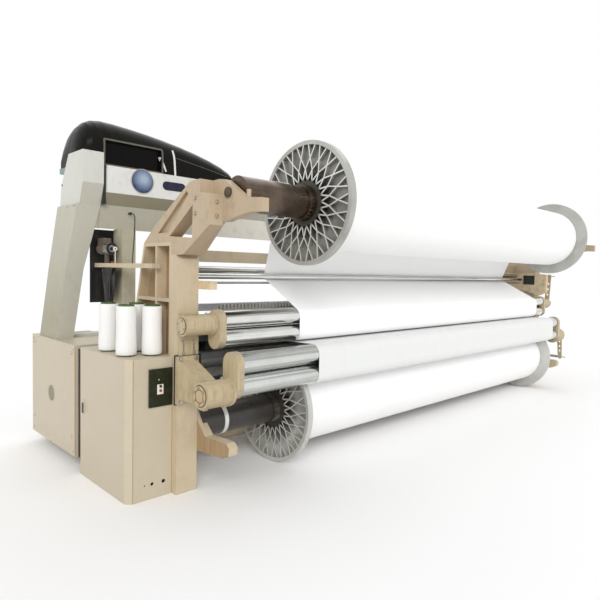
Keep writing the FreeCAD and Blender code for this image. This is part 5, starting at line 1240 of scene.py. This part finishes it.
# %% small fittings
CAP = (-2.504, 0.0305, 2.060)
FEEDER_X = -2.738
gland = turned([(0, 0.010), (0.028, 0.010), (0.030, 0.008)], (-2.577, 0.0905, 1.817), FRONT, 24)
upper_cover, lower_cover = (UPPER_COVER_X + 0.0055, *UPPER_PIVOT), (LOWER_COVER_X + 0.0055, *LOWER_PIVOT)
lead_to_eyelet = hose([(FEEDER_X, -0.023, z) for z in np.linspace(1.444, 1.535, 6)], 0.003)
FITTINGS = [
    ("cap_rim", [ring(CAP, FRONT, 0.0862, 0.0905, 0.006, 96)], "zinc", "machine", "steel"),
    ("hood_foot", [brick((-2.944, 0.345, 2.100), (-2.83, 0.468, 2.1398))], "foot_grey", "machine",
     "light_alloy"),
    ("skirt_end", [brick((-2.8015, 0.1005, 1.696), (-2.7985, 0.140, 1.860))], "girder_paint", "machine",
     "frame_paint"),
    ("cable_gland", [gland], "black_plastic", "machine", "black_plastic"),
    ("post_lamp", [disc((-2.950, 0.400, 2.012), NEAR, 0.007, 0.003, 0.003)], "lamp_green", "machine",
     "green_panel"),
    ("switch_plate", [brick((-2.821, -0.7800, 0.645), (-2.779, -0.7779, 0.706))], "white_trim", "machine",
     "light_alloy"),
    ("panel_rim", panel_rim(), "black_plastic", "machine", "black_plastic"),
    ("panel_lamp", [disc((-2.808, -0.7745, 0.735), FRONT, 0.0045, 0.003, 0.001)], "brass", "machine",
     "light_alloy"),
    ("door_lock", [brick((-3.0205, -0.152, 0.435), (-3.0168, -0.130, 0.503))], "black_plastic", "door",
     "black_plastic"),
    ("case_disc", [disc((-3.0119, 0.459, 0.462), NEAR, 0.0585, 0.0005, 0.0, 64)], "disc_grey", "machine",
     "case_paint"),
    ("case_edge", [brick((-3.0096, 0.0108, 0.088), (-3.0086, 0.0185, 0.869))], "edge_rust", "machine",
     "case_paint"),
    ("cabinet_edges", cabinet_edges(), "edge_brown", "machine", "case_paint"),
    # Painted shadow: a black sheet round the near lower housing's foot plate, which stands proud of the column.
    ("housing_plate_shadow", [brick((-2.7318, -0.8245, 0.572), (-2.538, -0.8202, 0.884))], "black_plastic", "machine",
     "black_plastic"),
    ("housing_rings", [ring(upper_cover, NEAR, 0.0478, 0.0515, 0.002),
                       ring(lower_cover, NEAR, 0.0608, 0.0655, 0.002)], "grime_dark", "machine",
     "black_plastic"),
    ("cover_ring", [ring((-2.7208, *LOWER_PIVOT), NEAR, 0.0350, 0.0435, 0.0012)], "edge_rust", "machine",
     "frame_paint"),
    ("drum_ring", [ring((FEEDER_X, 0.0303, 1.550), FRONT, 0.0245, 0.0435, 0.0022),
                   disc((FEEDER_X, 0.0385, 1.550), FRONT, 0.011, 0.004, 0.002)], "black_plastic", "drum",
     "black_plastic"),
    ("feeder_eyelet", [ring((FEEDER_X, -0.020, 1.548), FRONT, 0.007, 0.015, 0.006), lead_to_eyelet],
     "white_trim", "machine", "light_alloy"),
    ("feeder_knob", [disc((-2.730, 0.040, 1.4448), UP, 0.009, 0.012, 0.004)], "red_plastic", "machine",
     "red_plastic"),
]
for name, shapes, finish, body, slot in FITTINGS:
    mesh_piece(name, merged(shapes), finish, body)
print("small fittings", len(FITTINGS))

# %% [markdown]
# ## Felt rings and cable leads
# A dark ring closes the gap between each tension roller and its swing arm, and a bunch
# of dark leads hangs below the feeder's shelf.  The bunch could be one solid lump;
# nine hoses that sway each in its own phase read as leads and cost little.

# %% felt rings and cable leads
SEAL_X = (-2.4595, 2.456)       # where the rings start, at the near and the far swing arm


def roller_seals():
    """Dark felt ring between each tension roller's end and its swing arm."""
    for body, (y, z, radius) in ROLLERS.items():
        rings = [ring((x, y, z), (1, 0, 0), 0.0155, radius + 0.0004, 0.0035) for x in SEAL_X]
        mesh_piece(body + "_seals", merged(rings), "grime_dark", body)


def cable_bunch():
    """Leads of the dark bunch: each drops from the shelf and draws in towards the bottom.

    Y narrows to the bunch's middle by 62 % of t to the 0.8, for the share t of the drop."""
    middle_y, top_z, fall = 0.078, 1.4148, 0.258
    drop = np.linspace(0, 1, 14)
    leads = []
    for k, y_top in enumerate(np.linspace(-0.018, 0.168, 9)):
        y = middle_y + (y_top - middle_y) * (1 - 0.62 * drop ** 0.8) + 0.004 * np.sin(5 * drop + k)
        x = -2.737 - 0.024 * math.cos(1.9 * k) * (1 - 0.3 * drop)
        leads.append(hose(np.stack([x, y, top_z - fall * drop], 1), 0.0085))
    mesh_piece("cable_leads", merged(leads), "black_plastic", "machine", smooth=True)
    return len(leads)


roller_seals()
print("roller seals", 2 * len(ROLLERS), "cable leads", cable_bunch())

# %% [markdown]
# ## Reed and heald wires
# The reed and the healds are combs of hundreds of flat wires.  A modifier could repeat
# one wire; numpy places all wires of a comb at once, and they stay one mesh.  Each is
# a row of four-cornered rings, so that a thousand of them are light.  A heald swells
# in the middle, round the eye that holds its end of yarn.

# %% reed and healds
def wires(name, xs, y, z0, z1, width, depth, body, eye=None):
    """Upright flat wires; with an eye, each wire swells to a small ring at that height."""
    levels, swell = [z0, z1], [1.0, 1.0]
    if eye is not None:
        levels = [z0, eye - 0.012, eye - 0.006, eye + 0.006, eye + 0.012, z1]
        swell = [1.0, 1.0, 2.6, 2.6, 1.0, 1.0]
    corners = np.array([(-1, -1), (1, -1), (1, 1), (-1, 1)]) * 0.5
    points = np.empty((len(xs), len(levels), 4, 3))
    points[..., 0] = xs[:, None, None] + corners[:, 0] * width
    points[..., 1] = y + corners[:, 1] * depth * np.array(swell)[:, None]
    points[..., 2] = np.array(levels)[:, None]
    per = len(levels) * 4
    one = np.concatenate([grid_faces(len(levels), 4, closed_columns=True), end_faces(len(levels), 4)])
    faces = (one[None] + (np.arange(len(xs)) * per)[:, None, None]).reshape(-1, 4)
    mesh_piece(name, (points.reshape(-1, 3), faces), "reed_steel", body)
    print(name, len(xs))


HEALD = {"z0": 0.698, "z1": 1.062, "width": 0.0012, "depth": 0.0022, "eye": 0.877}
wires("reed_wires", np.arange(-2.400, 2.4001, 0.006), 0.380, 0.8445, 0.9425, 0.0009, 0.005, "sley_body")
wires("rear_heald_wires", np.arange(-1.80, 1.9501, 0.011), 0.1625, body="rear_heald", **HEALD)
wires("front_heald_wires", np.arange(-1.795, 1.9501, 0.011), 0.2175, body="front_heald", **HEALD)

# %% [markdown]
# ## Floor
# The floor is plain white.  A small plate would show its edge, so it reaches 40 m each
# way.  It looks pure white where it is seen and throws a little less light back on the
# loom, like the surroundings.

# %% floor and its finish
FLOOR_REACH, FLOOR_Z = 40, -0.001
floor_corners = [(x * FLOOR_REACH, y * FLOOR_REACH, FLOOR_Z) for x, y in ((-1, -1), (1, -1), (1, 1), (-1, 1))]
floor_finish, floor_tree, floor_skin = blank("floor")
floor = new_object("floor", floor_corners, [(0, 1, 2, 3)], floor_finish)
floor_skin.inputs["Base Color"].default_value = (1.0, 1.0, 1.0, 1)
floor_skin.inputs["Roughness"].default_value = 1.0
floor_skin.inputs["Specular IOR Level"].default_value = 0.0
floor_dim = add(floor_tree, "ShaderNodeBsdfDiffuse", Color=(0.93, 0.92, 0.90, 1))
floor_surface = floor_tree.nodes["Material Output"].inputs["Surface"]
floor_tree.links.new(switched(floor_tree, floor_skin, floor_dim), floor_surface)

import json
